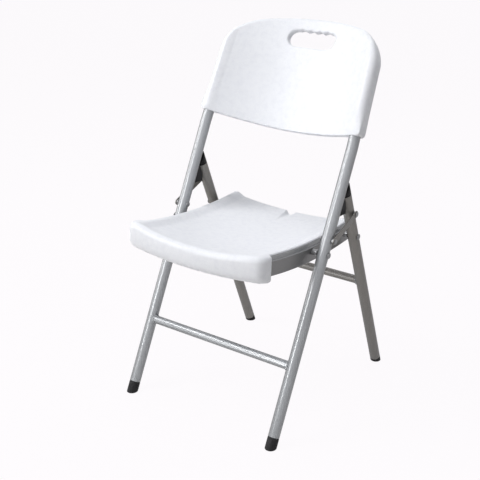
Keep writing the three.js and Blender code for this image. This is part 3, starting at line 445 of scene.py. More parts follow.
def fastener_tree():
    """A turned or pressed head at each point, facing along the point's own normal."""
    tree, given, result = new_group("fasteners", "GeometryNodeTree", [
        ("Places", "NodeSocketGeometry", None), ("Fastener", "NodeSocketObject", None),
        ("Turn", "NodeSocketFloat", 0.6), ("Seed", "NodeSocketInt", 3),
        ("Finish", "NodeSocketMaterial", None),
    ], [("Fasteners", "NodeSocketGeometry")])
    shape = add_node(tree, "GeometryNodeObjectInfo", None, Object=given.outputs["Fastener"])
    facing = add_node(tree, "GeometryNodeInputNamedAttribute", {"data_type": "FLOAT_VECTOR"},
                      Name="facing")
    aligned = add_node(tree, "FunctionNodeAlignRotationToVector", {"axis": "Z"},
                       Vector=facing.outputs["Attribute"])
    angle = add_node(tree, "FunctionNodeRandomValue", {"data_type": "FLOAT"}, i2=0.0,
                     i3=given.outputs["Turn"], Seed=given.outputs["Seed"])
    spin = add_node(tree, "FunctionNodeAxisAngleToRotation", None, Angle=angle.outputs[1])
    turn = add_node(tree, "FunctionNodeRotateRotation", {"rotation_space": "LOCAL"},
                    Rotation=aligned.outputs[0], i1=spin.outputs[0])
    placed = add_node(tree, "GeometryNodeInstanceOnPoints", None, Points=given.outputs["Places"],
                      Instance=shape.outputs["Geometry"], Rotation=turn.outputs[0])
    finish_tree(tree, placed.outputs["Instances"], given, result)
    return tree


def weld_tree():
    """Overlapping beads of weld metal along a closed curve."""
    tree, given, result = new_group("weld_seam", "GeometryNodeTree", [
        ("Seam", "NodeSocketGeometry", None), ("Bead radius", "NodeSocketFloat", 0.0019),
        ("Pitch", "NodeSocketFloat", 0.0017), ("Unevenness", "NodeSocketFloat", 0.18),
        ("Seed", "NodeSocketInt", 5), ("Finish", "NodeSocketMaterial", None),
    ], [("Weld", "NodeSocketGeometry")])
    points = add_node(tree, "GeometryNodeCurveToPoints", {"mode": "LENGTH"},
                      Curve=given.outputs["Seam"], Length=given.outputs["Pitch"])
    bead = add_node(tree, "GeometryNodeMeshIcoSphere", None,
                    Radius=given.outputs["Bead radius"], Subdivisions=2)
    least = add_node(tree, "ShaderNodeMath", {"operation": "SUBTRACT"},
                     i0=1.0, i1=given.outputs["Unevenness"])
    size = add_node(tree, "FunctionNodeRandomValue", {"data_type": "FLOAT"},
                    i2=least.outputs[0], i3=1.0, Seed=given.outputs["Seed"])
    beads = add_node(tree, "GeometryNodeInstanceOnPoints", None, Points=points.outputs["Points"],
                     Instance=bead.outputs["Mesh"], Scale=size.outputs[1])
    finish_tree(tree, beads.outputs["Instances"], given, result)
    return tree


# ---------------------------------------------------------------- effects that materials share

def pebble_effect():
    """Fine pebbled grain of moulded plastic, as a height and as a mask of its hollows for painted shade in
    them.
    """
    tree, given, result = new_group("pebble_grain", "ShaderNodeTree", [
        ("Position", "NodeSocketVector", None), ("Pebbles per metre", "NodeSocketFloat", 700.0),
        ("Roughening", "NodeSocketFloat", 0.35),
    ], [("Height", "NodeSocketFloat"), ("Shaded hollows", "NodeSocketFloat")])
    cells = add_node(tree, "ShaderNodeTexVoronoi", {"feature": "SMOOTH_F1"},
                     Vector=given.outputs["Position"],
                     Scale=given.outputs["Pebbles per metre"], Smoothness=0.5)
    fine = add_node(tree, "ShaderNodeTexNoise", None, Vector=given.outputs["Position"],
                    Scale=given.outputs["Pebbles per metre"], Detail=2.0)
    mixed = add_node(tree, "ShaderNodeMix", {"data_type": "FLOAT"}, Factor=given.outputs["Roughening"],
                     A=cells.outputs["Distance"], B=fine.outputs[0])
    height = add_node(tree, "ShaderNodeMath", {"operation": "SUBTRACT"}, i0=1.0, i1=mixed.outputs[0])
    hollows = add_node(tree, "ShaderNodeMapRange", None, Value=mixed.outputs[0], i1=0.45, i2=0.8)
    tree.links.new(height.outputs[0], result.inputs["Height"])
    tree.links.new(hollows.outputs[0], result.inputs["Shaded hollows"])
    return tree


def handling_effect():
    """Soft smudges and light scuffs from handling, as two masks."""
    tree, given, result = new_group("handling_marks", "ShaderNodeTree", [
        ("Position", "NodeSocketVector", None), ("Smudge size", "NodeSocketFloat", 9.0),
        ("Scuffs per metre", "NodeSocketFloat", 160.0),
    ], [("Smudges", "NodeSocketFloat"), ("Scuffs", "NodeSocketFloat")])
    cloud = add_node(tree, "ShaderNodeTexNoise", None, Vector=given.outputs["Position"],
                     Scale=given.outputs["Smudge size"], Detail=4.0, Roughness=0.55)
    smudges = add_node(tree, "ShaderNodeMapRange", None, Value=cloud.outputs[0], i1=0.42, i2=0.68)
    scratch = add_node(tree, "ShaderNodeTexNoise", None, Vector=given.outputs["Position"],
                       Scale=given.outputs["Scuffs per metre"], Detail=3.0, Distortion=1.4)
    scuffs = add_node(tree, "ShaderNodeMapRange", None, Value=scratch.outputs[0], i1=0.63, i2=0.72)
    tree.links.new(smudges.outputs[0], result.inputs["Smudges"])
    tree.links.new(scuffs.outputs[0], result.inputs["Scuffs"])
    return tree


def flake_effect():
    """Metal flakes and slight orange peel of sprayed silver paint."""
    tree, given, result = new_group("paint_flakes", "ShaderNodeTree", [
        ("Position", "NodeSocketVector", None), ("Flakes per metre", "NodeSocketFloat", 2600.0),
        ("Peel per metre", "NodeSocketFloat", 420.0),
    ], [("Flakes", "NodeSocketFloat"), ("Peel", "NodeSocketFloat")])
    cells = add_node(tree, "ShaderNodeTexVoronoi", {"feature": "F1"}, Vector=given.outputs["Position"],
                     Scale=given.outputs["Flakes per metre"])
    flakes = add_node(tree, "ShaderNodeSeparateColor", None, Color=cells.outputs["Color"])
    peel = add_node(tree, "ShaderNodeTexNoise", None, Vector=given.outputs["Position"],
                    Scale=given.outputs["Peel per metre"], Detail=1.0)
    tree.links.new(flakes.outputs[0], result.inputs["Flakes"])
    tree.links.new(peel.outputs[0], result.inputs["Peel"])
    return tree


# ---------------------------------------------------------------- materials

class Finish:
    """A material being built: its shader, its Object coordinates and short ways to add to it."""

    def __init__(self, name, roughness, metallic=0.0, specular=0.5):
        self.material = bpy.data.materials.new(name)
        self.material.use_nodes = True
        self.tree = self.material.node_tree
        self.shader = self.tree.nodes["Principled BSDF"]
        self.shader.inputs["Roughness"].default_value = roughness
        self.shader.inputs["Metallic"].default_value = metallic
        self.shader.inputs["Specular IOR Level"].default_value = specular
        self.position = add_node(self.tree, "ShaderNodeTexCoord").outputs["Object"]

    def effect(self, group, **inputs):
        """A shared effect placed in this material, with its own values."""
        node = add_node(self.tree, "ShaderNodeGroup", {"node_tree": group}, Position=self.position)
        for name, value in inputs.items():
            node.inputs[name.replace("_", " ")].default_value = value
        return node

    def blend(self, mask, low, high):
        """A colour that goes from low to high with a mask. Each of the two is a colour or a socket."""
        node = add_node(self.tree, "ShaderNodeMix", {"data_type": "RGBA"}, i0=mask)
        for index, value in ((6, low), (7, high)):
            if isinstance(value, bpy.types.NodeSocket):
                self.tree.links.new(value, node.inputs[index])
            else:
                node.inputs[index].default_value = (*value, 1)
        return node.outputs[2]

    def range(self, mask, low, high):
        """A value that goes from low to high with a mask."""
        return add_node(self.tree, "ShaderNodeMapRange", None, Value=mask, i3=low, i4=high).outputs[0]

    def bump(self, height, depth, strength):
        """A bump that is depth millimetres deep."""
        node = add_node(self.tree, "ShaderNodeBump", None,
                        Height=height, Strength=strength, Distance=depth * MM)
        return node.outputs["Normal"]

    def feed(self, **sockets):
        """Links sockets to the shader's inputs, and gives the finished material."""
        for name, socket in sockets.items():
            self.tree.links.new(socket, self.shader.inputs[name.replace("_", " ")])
        return self.material


def srgb(red, green, blue):
    """A screen colour from 0 to 255, as the linear colour that shaders take."""
    return tuple(((v / 255 + 0.055) / 1.055) ** 2.4 for v in (red, green, blue))


def make_materials():
    pebbles, handling, flakes = pebble_effect(), handling_effect(), flake_effect()
    made = {}

    plastic = Finish("white_moulded_plastic", 0.5, specular=0.4)
    grain = plastic.effect(pebbles, Pebbles_per_metre=620.0, Roughening=0.4)
    marks = plastic.effect(handling, Smudge_size=85.0, Scuffs_per_metre=120.0)
    body = plastic.blend(marks.outputs["Smudges"], srgb(241, 243, 248), srgb(236, 238, 244))
    # Painted shade: the pebbles' hollows are coloured a darker grey.
    body = plastic.blend(plastic.range(grain.outputs["Shaded hollows"], 0.0, 0.22), body, srgb(212, 215, 222))
    made["plastic"] = plastic.feed(
        Base_Color=body, Roughness=plastic.range(marks.outputs["Smudges"], 0.44, 0.56),
        Normal=plastic.bump(grain.outputs["Height"], 0.22, 0.55),
    )

    def painted(name, light, dark, edge, roughness):
        """Metal-flake paint: light and dark flakes, and painted shade: its colour turns to a dark tone where
        it is seen at a low angle, along the sides of a tube.
        """
        paint = Finish(name, roughness, metallic=0.08, specular=0.9)
        flake = paint.effect(flakes, Flakes_per_metre=2600.0, Peel_per_metre=380.0)
        marks = paint.effect(handling, Smudge_size=14.0, Scuffs_per_metre=210.0)
        colour = paint.blend(flake.outputs["Flakes"], dark, light)
        colour = paint.blend(paint.range(marks.outputs["Smudges"], 0.0, 0.25), colour, dark)
        # Painted shade: the colour is blended to the dark edge tone as the surface turns away from the view,
        # which darkens a tube's sides.
        grazing_shade = add_node(paint.tree, "ShaderNodeLayerWeight", None, Blend=0.42).outputs["Facing"]
        colour = paint.blend(grazing_shade, colour, edge)
        return paint.feed(
            Base_Color=colour, Roughness=paint.range(marks.outputs["Scuffs"], roughness, roughness + 0.1),
            Normal=paint.bump(flake.outputs["Peel"], 0.02, 0.35),
        )

    # The third colour of each paint is the dark tone of its painted shade at low angles.
    made["paint"] = painted(
        "silver_grey_paint", srgb(192, 196, 200), srgb(160, 163, 167), srgb(36, 35, 34), 0.3)
    # A darker, warmer copy of the silver paint for the rear frame and the links: painted shade, as these
    # parts are the same paint as the front frame.
    made["rear_paint_shaded"] = painted(
        "rear_paint_shaded", srgb(152, 149, 144), srgb(126, 122, 117), srgb(30, 27, 24), 0.45)
    # A darker copy of the silver paint for the seat rails: painted shade on their outer faces, which are the
    # same paint.
    made["rail_paint_shaded"] = painted(
        "rail_paint_shaded", srgb(138, 139, 142), srgb(110, 110, 112), srgb(60, 57, 54), 0.34)
    # A lighter copy of the rails' paint for their upper band: a painted highlight where the band catches the
    # light.
    made["band_paint_lit"] = painted(
        "band_paint_lit", srgb(178, 181, 186), srgb(152, 155, 159), srgb(96, 96, 97), 0.3)

    zinc = Finish("zinc_plated_steel", 0.45, 0.35)
    marks = zinc.effect(handling, Smudge_size=60.0, Scuffs_per_metre=500.0)
    made["zinc"] = zinc.feed(
        Base_Color=zinc.blend(marks.outputs["Smudges"], srgb(146, 147, 149), srgb(116, 117, 118)),
        Roughness=zinc.range(marks.outputs["Scuffs"], 0.4, 0.58),
        Normal=zinc.bump(marks.outputs["Scuffs"], 0.03, 0.4),
    )

    def dark_plastic(name, colour, worn, roughness, grain_depth):
        dark = Finish(name, roughness, specular=0.2)
        grain = dark.effect(pebbles, Pebbles_per_metre=1500.0, Roughening=0.6)
        marks = dark.effect(handling, Smudge_size=35.0, Scuffs_per_metre=320.0)
        return dark.feed(
            Base_Color=dark.blend(dark.range(marks.outputs["Scuffs"], 0.0, 0.5), colour, worn),
            Roughness=dark.range(marks.outputs["Smudges"], roughness - 0.08, roughness + 0.08),
            Normal=dark.bump(grain.outputs["Height"], grain_depth, 0.5),
        )

    made["black"] = dark_plastic("black_moulded_plastic", srgb(16, 16, 18), srgb(44, 44, 46), 0.55, 0.06)
    made["rubber"] = dark_plastic("dark_rubber", srgb(36, 36, 38), srgb(76, 75, 74), 0.72, 0.1)
    return made


# ---------------------------------------------------------------- moulded panels

def bezier(points, steps):
    """Points along a curve given by its control points, without the last one."""
    found = []
    for k in range(steps):
        line, t = [Vector(p) for p in points], k / steps
        while len(line) > 1:
            line = [a.lerp(b, t) for a, b in zip(line, line[1:])]
        found.append(line[0])
    return found


def inwards(outline):
    """The direction into the panel at each point of an anticlockwise outline."""
    count = len(outline)
    found = []
    for i in range(count):
        along = (outline[(i + 1) % count] - outline[i - 1]).normalized()
        found.append(Vector((-along.y, along.x)))
    return found


def rim_rings(outline, rims, near, far, steps, side=1):
    """Rings over the rounded rim of a panel, from its near face to its far face. At a hole, side is -1."""
    into = [way * side for way in inwards(outline)]
    turns = [math.pi / 2 * k / steps for k in range(steps + 1)]
    rings = []
    for which, face, sign in ((0, near, 1), (1, far, -1)):
        for turn in turns if which == 0 else reversed(turns):
            ring = []
            for i, point in enumerate(outline):
                radius = rims[i][which]
                edge = point + into[i] * radius
                place = point + into[i] * radius * (1 - math.sin(turn))
                height = face(edge.x, edge.y) + sign * radius * (1 - math.cos(turn))
                ring.append((place.x, place.y, height))
            rings.append(ring)
    return rings


def between(outer, inner, shares, face):
    """Rings on a face, at shares of the way from an outer ring to an inner one."""
    rings = []
    for share in shares:
        ring = []
        for a, b in zip(outer, inner):
            x, y = a[0] + (b[0] - a[0]) * share, a[1] + (b[1] - a[1]) * share
            ring.append((x, y, face(x, y)))
        rings.append(ring)
    return rings


# ---------------------------------------------------------------- back panel

def back_front(x, along):
    """Front face: a roll round the front of each leg, and a hollow between them."""
    from_leg = max(leg_inwards(along) - abs(x), 0)
    share = 1 - from_leg / leg_inwards(along)
    hollow = BACK_HOLLOW * (1 - share ** 2) - ROLL_R
    roll = -math.sqrt(ROLL_R ** 2 - from_leg ** 2) if from_leg < ROLL_R else hollow
    return back_lean(along) + (1 - ROLL_SHARE) * hollow + ROLL_SHARE * soft_min(hollow, roll, 7)


def back_rear(x, along):
    """Rear face: a thickness behind the front face, or a wall behind the legs, whichever is further."""
    return soft_max(back_front(x, along) + BACK_THICKNESS, back_lean(along) + ROLL_R, 9)


def back_outline():
    """The back panel's edge, anticlockwise, with its two sides the same."""
    low, high = leg_inwards(BACK_BOTTOM) + ROLL_R, leg_inwards(FRONT_LEG_END) + ROLL_R
    corner, edge = BACK_CORNER, BACK_TOP - BACK_ARCH
    shoulder, crown, round_ = edge - corner, edge + BACK_CORNER_RISE, BACK_LOWER_ROUND
    flat, sag = low - round_, BACK_BOTTOM - BACK_SAG
    right = bezier([(0, sag), (flat / 2, sag), (flat, BACK_BOTTOM)], 44)
    right += bezier([(flat, BACK_BOTTOM), (low, BACK_BOTTOM), (low, BACK_BOTTOM + round_)], 12)
    right += bezier([(low, BACK_BOTTOM + round_), (high, shoulder)], 40)
    right += bezier([(high, shoulder), (high, shoulder + corner / 2),
                     (high - corner / 2, edge), (high - corner, crown)], 36)
    right += bezier([(high - corner, crown), ((high - corner) / 2, BACK_TOP), (0, BACK_TOP)], 44)
    left = [Vector((-p.x, p.y)) for p in right[1:]]
    return right + [Vector((0, BACK_TOP))] + left[::-1]


def slot_outline(outer):
    """The hand slot's edge, with finger scallops above. Its points lie towards those of the outer edge."""
    radius = SLOT_HEIGHT / 2
    middle = Vector((0, BACK_TOP - SLOT_BELOW_TOP - radius))
    end = SLOT_WIDTH / 2 - radius
    found = []
    for point in outer:
        way = (point - middle).normalized()
        low, high = 0, SLOT_WIDTH
        for _ in range(40):  # halves the stretch that holds the edge
            reach = (low + high) / 2
            place = way * reach
            across = max(abs(place.x) - end, 0)
            upper = radius
            if place.y > 0 and abs(place.x) < end:
                fingers = 2 * math.pi * (place.x + end) / (2 * end / SLOT_FINGERS)
                upper += SLOT_SCALLOP * (0.5 - 0.5 * math.cos(fingers))
            inside = math.hypot(across, place.y * radius / upper) < radius
            low, high = (reach, high) if inside else (low, reach)
        found.append(middle + way * low)
    return found


def back_rims(along):
    """The edge's rounding in front and behind: small below, full along the side rolls, less at the top."""
    side = smoothstep(along, BACK_BOTTOM + 8, BACK_BOTTOM + 60)
    top = smoothstep(along, BACK_TOP - 100, BACK_TOP - 50)
    return (BACK_RIM + (ROLL_R - BACK_RIM - 2) * side - 5 * top, BACK_RIM + 2 * side)


def make_back_panel(finish):
    outer = back_outline()
    inner = slot_outline(outer)
    rim = rim_rings(outer, [back_rims(p.y) for p in outer], back_front, back_rear, 7)
    slot = rim_rings(inner, [SLOT_RIMS] * len(inner), back_front, back_rear, 6, side=-1)
    shares = [(k / 38) ** 1.4 for k in range(1, 38)]
    front = between(rim[0], slot[0], shares, back_front)
    rear = between(rim[-1], slot[-1], shares, back_rear)
    rings = rim + rear + slot[::-1] + front[::-1]
    points = [on_front(x, behind, along) for ring in rings for x, along, behind in ring]
    faces = ring_faces(len(outer), len(rings), closed=True)
    panel = new_piece("back_panel_moulding", points, faces, finish)
    radius = LEG_R + CLEARANCE
    levels = (BACK_BOTTOM - 30, BACK_BOTTOM + 60, FRONT_LEG_END + CLEARANCE)
    sockets = []
    for side in SIDES:
        def place(a, b, along, side=side):
            return on_front(side * leg_inwards(along) + a, b, along)
        sockets.append(turned("socket", place, [(along, radius) for along in levels], finish, sides=48))
    cut_away(panel, sockets, 40)
    return stands_for(panel, "front_frame", "white_plastic", "back_panel")


# ---------------------------------------------------------------- seat panel

def seat_outline():
    """The seat's edge from above, anticlockwise: a wide nose, a step in to the rails and a notch behind."""
    front_y, rear_y = SEAT_FRONT_Y + SEAT_FRONT_BOW, SEAT_REAR_Y - SEAT_REAR_BOW
    front, rear, wide, narrow = SEAT_FRONT_ROUND, SEAT_REAR_ROUND, NOSE_X, SEAT_SIDE_X
    step_from, step_to = NOSE_REAR_Y - 14, NOSE_REAR_Y + 9
    right = bezier([(0, SEAT_FRONT_Y), ((wide - front) / 2, SEAT_FRONT_Y), (wide - front, front_y)], 44)
    right += bezier([(wide - front, front_y), (wide - front * 0.42, front_y + 0.7),
                     (wide, front_y + front * 0.45), (wide, front_y + front)], 16)
    right += bezier([(wide, front_y + front), (wide, step_from)], 4)
    right += bezier([(wide, step_from), (wide, step_from + 12),
                     (narrow, step_to - 13), (narrow, step_to)], 18)
    right += bezier([(narrow, step_to), (narrow, rear_y - rear)], 66)
    right += bezier([(narrow, rear_y - rear), (narrow, rear_y - rear * 0.45),
                     (narrow - rear * 0.45, rear_y), (narrow - rear, rear_y)], 8)
    flat = bezier([(narrow - rear, rear_y), ((narrow - rear) / 2, SEAT_REAR_Y), (0, SEAT_REAR_Y)], 180)
    right += flat[:120:4] + flat[120::2]  # closer together where the notch is
    left = [Vector((-p.x, p.y)) for p in right[1:]]
    outline = right + [Vector((0, SEAT_REAR_Y))] + left[::-1]
    return [Vector((p.x, p.y - notch_share(p.x, p.y) * NOTCH_RECESS)) for p in outline]


def notch_share(x, y):
    """How much of the rear notch's depth is reached at a place on the seat."""
    back = min((y - (SEAT_REAR_Y - NOTCH_LENGTH)) / NOTCH_LENGTH, 1)
    if back <= 0:
        return 0
    half = 4 + (NOTCH_WIDTH / 2 + 1) * back
    return back ** 1.3 * (1 - (x / half) ** 2) ** 1.3 if abs(x) < half else 0


def nose_sag(x):
    """How much lower the nose's lower edge is than at its ends."""
    return NOSE_SAG * (1 - min(abs(x) / NOSE_X, 1) ** 2)


def seat_top(x, y):
    """Side lips level with the rails, a saddle and a basin between them, and a notch at the rear."""
    share = min(abs(x) / (FLANGE_X - 2), 1)
    dish = SEAT_DISH * (1 - share ** 2.2)
    brow = SEAT_FRONT_Y + SEAT_FRONT_BOW + NOSE_RIMS[1] - 3
    side = SEAT_SIDE_X - 6
    basin = smoothstep(y, brow, brow + BASIN_WALL)
    basin *= 1 - smoothstep(abs(x), side - BASIN_WALL, side)
    return rail_top(y) + SEAT_LIP - dish - SEAT_BASIN * basin - NOTCH_DEPTH * notch_share(x, y)


def seat_bottom(x, y):
    """The underside before it is cut: it follows the rails to the front pivots and stays level behind."""
    return rail_top(min(y, SEAT_PIVOT[0])) + SEAT_LIP - NOSE_DEPTH - nose_sag(x)


def seat_rims(y):
    """The edge's rounding below and above, which is fullest on the nose."""
    behind_nose = smoothstep(y, NOSE_REAR_Y - 36, NOSE_REAR_Y + 4)
    return tuple(nose + (seat - nose) * behind_nose for nose, seat in zip(NOSE_RIMS, SEAT_RIMS))


def below_seat():
    """Solids that clear the seat's underside: behind the nose, in the middle pocket and round the rails."""
    nose_rear, past, wide, floor = NOSE_REAR_Y, SEAT_REAR_Y + 20, 260, 280
    underside = -RAIL_HEIGHT + RAIL_SHEET + CLEARANCE
    heel = nose_rear - NOSE_HEEL
    front_low, rear_low = seat_bottom(NOSE_X, heel) - 0.1, seat_bottom(NOSE_X, nose_rear)

    def behind_nose(x):
        sag = nose_sag(x)
        ring = [(heel, seat_bottom(NOSE_X, heel) - 40 - sag)]
        for k in range(9):
            t = k / 8
            y = heel + NOSE_HEEL * (1 - (1 - t) ** 2)
            ring.append((y, rear_low + (front_low - rear_low) * (1 - t) ** 2 + NOSE_HEEL * t * t - sag))
        for k in range(31):
            y = nose_rear + (past - nose_rear) * k / 30
            ring.append((y, rail_top(y) + underside))
        ring.append((past, floor))
        ring.append((heel + 6, floor))
        return [on_chair(x, y, z) for y, z in ring]

    solids = [lofted("behind_nose", [behind_nose(-wide + 2 * wide * k / 40) for k in range(41)], None)]
    flange, inner, outer = FLANGE_X - CLEARANCE, BAND_X - RAIL_SHEET - CLEARANCE, RAIL_X + 20
    below_flange, low = -RAIL_SHEET - CLEARANCE, -90
    section = [(flange, CLEARANCE), (outer, CLEARANCE), (outer, low), (inner, low),
               (inner, below_flange), (flange, below_flange)]
    for side in SIDES:
        mirrored = [(side * x, z) for x, z in section]
        solids.append(along_seat("rail_slot", mirrored, nose_rear, past, 40, None))
    solids.append(pocket_cutter())
    return solids


def along_seat(name, section, from_y, to_y, steps, finish, smooth_angle=SMOOTH_ANGLE):
    """A section, given across and above the rails' top edge, run along the seat's side curve."""
    rings = []
    for k in range(steps + 1):
        y = from_y + (to_y - from_y) * k / steps
        rings.append([on_chair(x, y, rail_top(y) + z) for x, z in section])
    return lofted(name, rings, finish, smooth_angle)


def pocket_cutter():
    """The pocket under the seat. Its roof has wells where the underside is pinched to the upper wall."""
    length, floor = POCKET_REAR_Y - POCKET_FRONT_Y, 300
    shares = [(k + 0.5) / WELLS_EACH_WAY for k in range(WELLS_EACH_WAY)]
    wells = [(POCKET_X * (2 * i - 1), POCKET_FRONT_Y + length * k) for i in shares for k in shares]

    def roof(x, y):
        nearest = min(math.hypot(x - a, y - b) for a, b in wells)
        return rail_top(y) - SEAT_SLAB + WELL_DEPTH * (1 - smoothstep(nearest, *WELL_R))

    rings = []
    across, along = 92, 96
    for r in range(along + 1):
        y = POCKET_FRONT_Y + length * r / along
        ring = []
        for c in range(across + 1):
            x = -POCKET_X + 2 * POCKET_X * c / across
            ring.append(on_chair(x, y, roof(x, y)))
        rings.append(ring + [on_chair(POCKET_X, y, floor), on_chair(-POCKET_X, y, floor)])
    return lofted("pocket", rings, None)


def make_seat_panel(finish):
    outline = seat_outline()
    rim = rim_rings(outline, [seat_rims(p.y) for p in outline], seat_bottom, seat_top, 6)
    middle_y = (SEAT_FRONT_Y + SEAT_REAR_Y) / 2
    core = [(p.x * 0.02, middle_y + (p.y - middle_y) * 0.02, 0) for p in outline]
    bottom = between(rim[0], core, [k / 6 for k in range(1, 7)], seat_bottom)
    top = between(rim[-1], core, [(k / 50) ** 1.25 for k in range(1, 51)], seat_top)
    rings = bottom[::-1] + rim + top
    placed = [[on_chair(*point) for point in ring] for ring in rings]
    panel = lofted("seat_panel_moulding", placed, finish)
    cut_away(panel, below_seat(), 32)
    return stands_for(panel, "seat", "white_plastic", "seat_panel")


# ---------------------------------------------------------------- seat rails and links

def make_seat_rail(side, finish, lit_band_finish):
    """Pressed channel, open towards the seat, with bent corners as a press leaves them."""
    t, step = RAIL_SHEET, -RAIL_BAND - RAIL_SHEET / 2
    band, face, lower = BAND_X - t / 2, RAIL_X - t / 2, -RAIL_HEIGHT + t / 2
    middle = [(FLANGE_X, -t / 2), (band, -t / 2), (band, step),
              (face, step), (face, lower), (FLANGE_X, lower)]
    bends = [Vector(middle[0])]
    for before, corner, after in zip(middle, middle[1:], middle[2:]):
        corner = Vector(corner)
        start = corner + (Vector(before) - corner).normalized() * RAIL_BEND
        end = corner + (Vector(after) - corner).normalized() * RAIL_BEND
        for k in range(6):
            u = k / 5
            bends.append(start.lerp(corner, u).lerp(corner.lerp(end, u), u))
    bends.append(Vector(middle[-1]))
    offsets = []
    for before, after in zip([bends[0]] + bends[:-1], bends[1:] + [bends[-1]]):
        along = (after - before).normalized()
        offsets.append(Vector((-along.y, along.x)) * t / 2)
    section = [p + o for p, o in zip(bends, offsets)]
    section += [p - o for p, o in zip(bends[::-1], offsets[::-1])]
    rail = along_seat("seat_rail", [(side * p.x, p.y) for p in section],
                      RAIL_FRONT_Y, RAIL_REAR_Y, 56, finish)
    # The upper band's faces take the lighter paint: a painted highlight on the band.
    rail.data.materials.append(lit_band_finish)
    for polygon in rail.data.polygons:
        corners = [section[v % len(section)] for v in polygon.vertices]
        centre = sum(corners, Vector((0, 0))) / len(corners)
        if len(corners) == 4 and centre.y > step - 0.6 and centre.x > band - t:
            polygon.material_index = 1
    bores = [cross_hole(side, place, PIVOT_R + CLEARANCE) for place in (SEAT_PIVOT, REAR_PIVOT)]
    cut_away(rail, bores)
    rail.name = "seat_rail_channel_" + SIDE_NAME[side]
    return stands_for(rail, "seat", "grey_paint", "seat_rail_" + SIDE_NAME[side])


def cross_hole(side, place, radius):
    """A cutter through a side of the chair at a pivot."""
    def at(a, b, x):
        return on_chair(side * x, place[0] + a, place[1] + b)
    return turned("hole", at, [(140, radius), (230, radius)], None, sides=32)


def make_link(side, finish):
    """Flat link with round ends and chamfered edges."""
    start, end = Vector(LINK_PIVOT), Vector(LINK_REAR)
    way = (end - start).normalized()
    across = Vector((-way.y, way.x))
    r = LINK_WIDTH / 2
    outline = []
    for middle, first in ((end, -90), (start, 90)):
        for k in range(25):
            turn = math.radians(first + 180 * k / 24)
            outline.append(middle + (way * math.cos(turn) + across * math.sin(turn)) * r)
    inside = LEG_X + LEG_R + LINK_STANDOFF
    outside = inside + LINK_THICKNESS
    levels = [(inside, 0.5), (inside + 0.5, 0), (outside - 0.7, 0), (outside, 0.7)]
    rings = []
    for x, inset in levels:
        ring = []
        for p in outline:
            centre = start + way * min(max((p - start).dot(way), 0), (end - start).length)
            q = p + (centre - p).normalized() * inset
            ring.append(on_chair(side * x, q.x, q.y))
        rings.append(ring)
    link = lofted("fold_link_" + SIDE_NAME[side], rings, finish)
    cut_away(link, [cross_hole(side, place, LINK_PIN_R + CLEARANCE) for place in (LINK_PIVOT, LINK_REAR)])
    return stands_for(link, "link_" + SIDE_NAME[side], "grey_paint", "link_" + SIDE_NAME[side])


# ---------------------------------------------------------------- frame tubes

def make_tube(name, tree, points, radius, wall, holes, finish, body, node):
    """A steel tube along a route, with its wall and its drilled holes."""
    curve = route_curve(name, points)
    values = {"Radius": radius * MM, "Bend radius": LEG_BEND_R * MM, "Sides": 48, "Finish": finish}
    tube = grown(name, curve, tree, values, ("grey_paint", body, (node,)))
    merge_doubles(tube.data)
    thick = tube.modifiers.new("wall", "SOLIDIFY")
    thick.thickness = wall * MM
    thick.offset = -1
    apply_modifiers(tube)
    soften_edges(tube, 0.35)
    cut_away(tube, holes)
    return tube


def make_frame_tubes(finish, shaded_rear_finish):
    tree = tube_tree()
    for side in SIDES:
        x, name = side * LEG_X, SIDE_NAME[side]
        route = [on_front(x, 0, FRONT_LEG_START), on_front(x, 0, FRONT_LEG_BEND),
                 on_front(side * leg_inwards(FRONT_LEG_END), 0, FRONT_LEG_END)]
        holes = [cross_hole(side, SEAT_PIVOT, PIVOT_R + CLEARANCE),
                 cross_hole(side, LINK_PIVOT, LINK_PIN_R + CLEARANCE),
                 stop_peg(side, STOP_PEG_R + CLEARANCE, 4, LEG_R + 5, None)]
        make_tube("front_leg_tube_" + name, tree, route, LEG_R, LEG_WALL, holes, finish,
                  "front_frame", "front_leg_" + name)
        route = [on_rear(x, 0, REAR_LEG_START), on_rear(x, 0, REAR_LEG_END)]
        make_tube("rear_leg_tube_" + name, tree, route, LEG_R, LEG_WALL,
                  [cross_hole(side, REAR_PIVOT, PIVOT_R + CLEARANCE)], shaded_rear_finish,
                  "rear_frame", "rear_leg_" + name)
    for end, place, along, body, paint in (("front", on_front, FRONT_CROSSBAR_AT, "front_frame", finish),
                                           ("rear", on_rear, REAR_CROSSBAR_AT, "rear_frame", shaded_rear_finish)):
        route = [place(x, 0, along) for x in (-LEG_X, LEG_X)]
        copes = [leg_shape("cope", side, place, along - 40, along + 40) for side in SIDES]
        make_tube(end + "_crossbar_tube", tree, route, BAR_R, BAR_WALL, copes, paint,
                  body, end + "_crossbar")


def leg_shape(name, side, place, start, end):
    """A cutter round a stretch of a leg, that leaves a clearance."""
    def at(a, b, along):
        return place(side * LEG_X + a, b, along)
    radius = LEG_R + CLEARANCE
    return turned(name, at, [(start, radius), (end, radius)], None, sides=48)


def make_welds(finish):
    """A weld seam round each end of both crossbars, along the line where bar and leg meet."""
    tree = weld_tree()
    seam_r, leg_r = BAR_R + 0.2, LEG_R + 0.5
    for end, place, along, body in (("front", on_front, FRONT_CROSSBAR_AT, "front_frame"),
                                    ("rear", on_rear, REAR_CROSSBAR_AT, "rear_frame")):
        for side in SIDES:
            points = []
            for k in range(41):
                turn = 2 * math.pi * k / 40
                behind, up = seam_r * math.cos(turn), seam_r * math.sin(turn)
                x = LEG_X - math.sqrt(leg_r ** 2 - behind ** 2)
                points.append(place(side * x, behind, along + up))
            values = {"Bead radius": 1.9 * MM, "Pitch": 1.6 * MM, "Unevenness": 0.22,
                      "Seed": 5 + side, "Finish": finish}
            name = f"weld_{end}_{SIDE_NAME[side]}"
            grown(name, route_curve(name, points), tree, values, ("grey_paint", body, ()))


# ---------------------------------------------------------------- feet, plugs and stop blocks

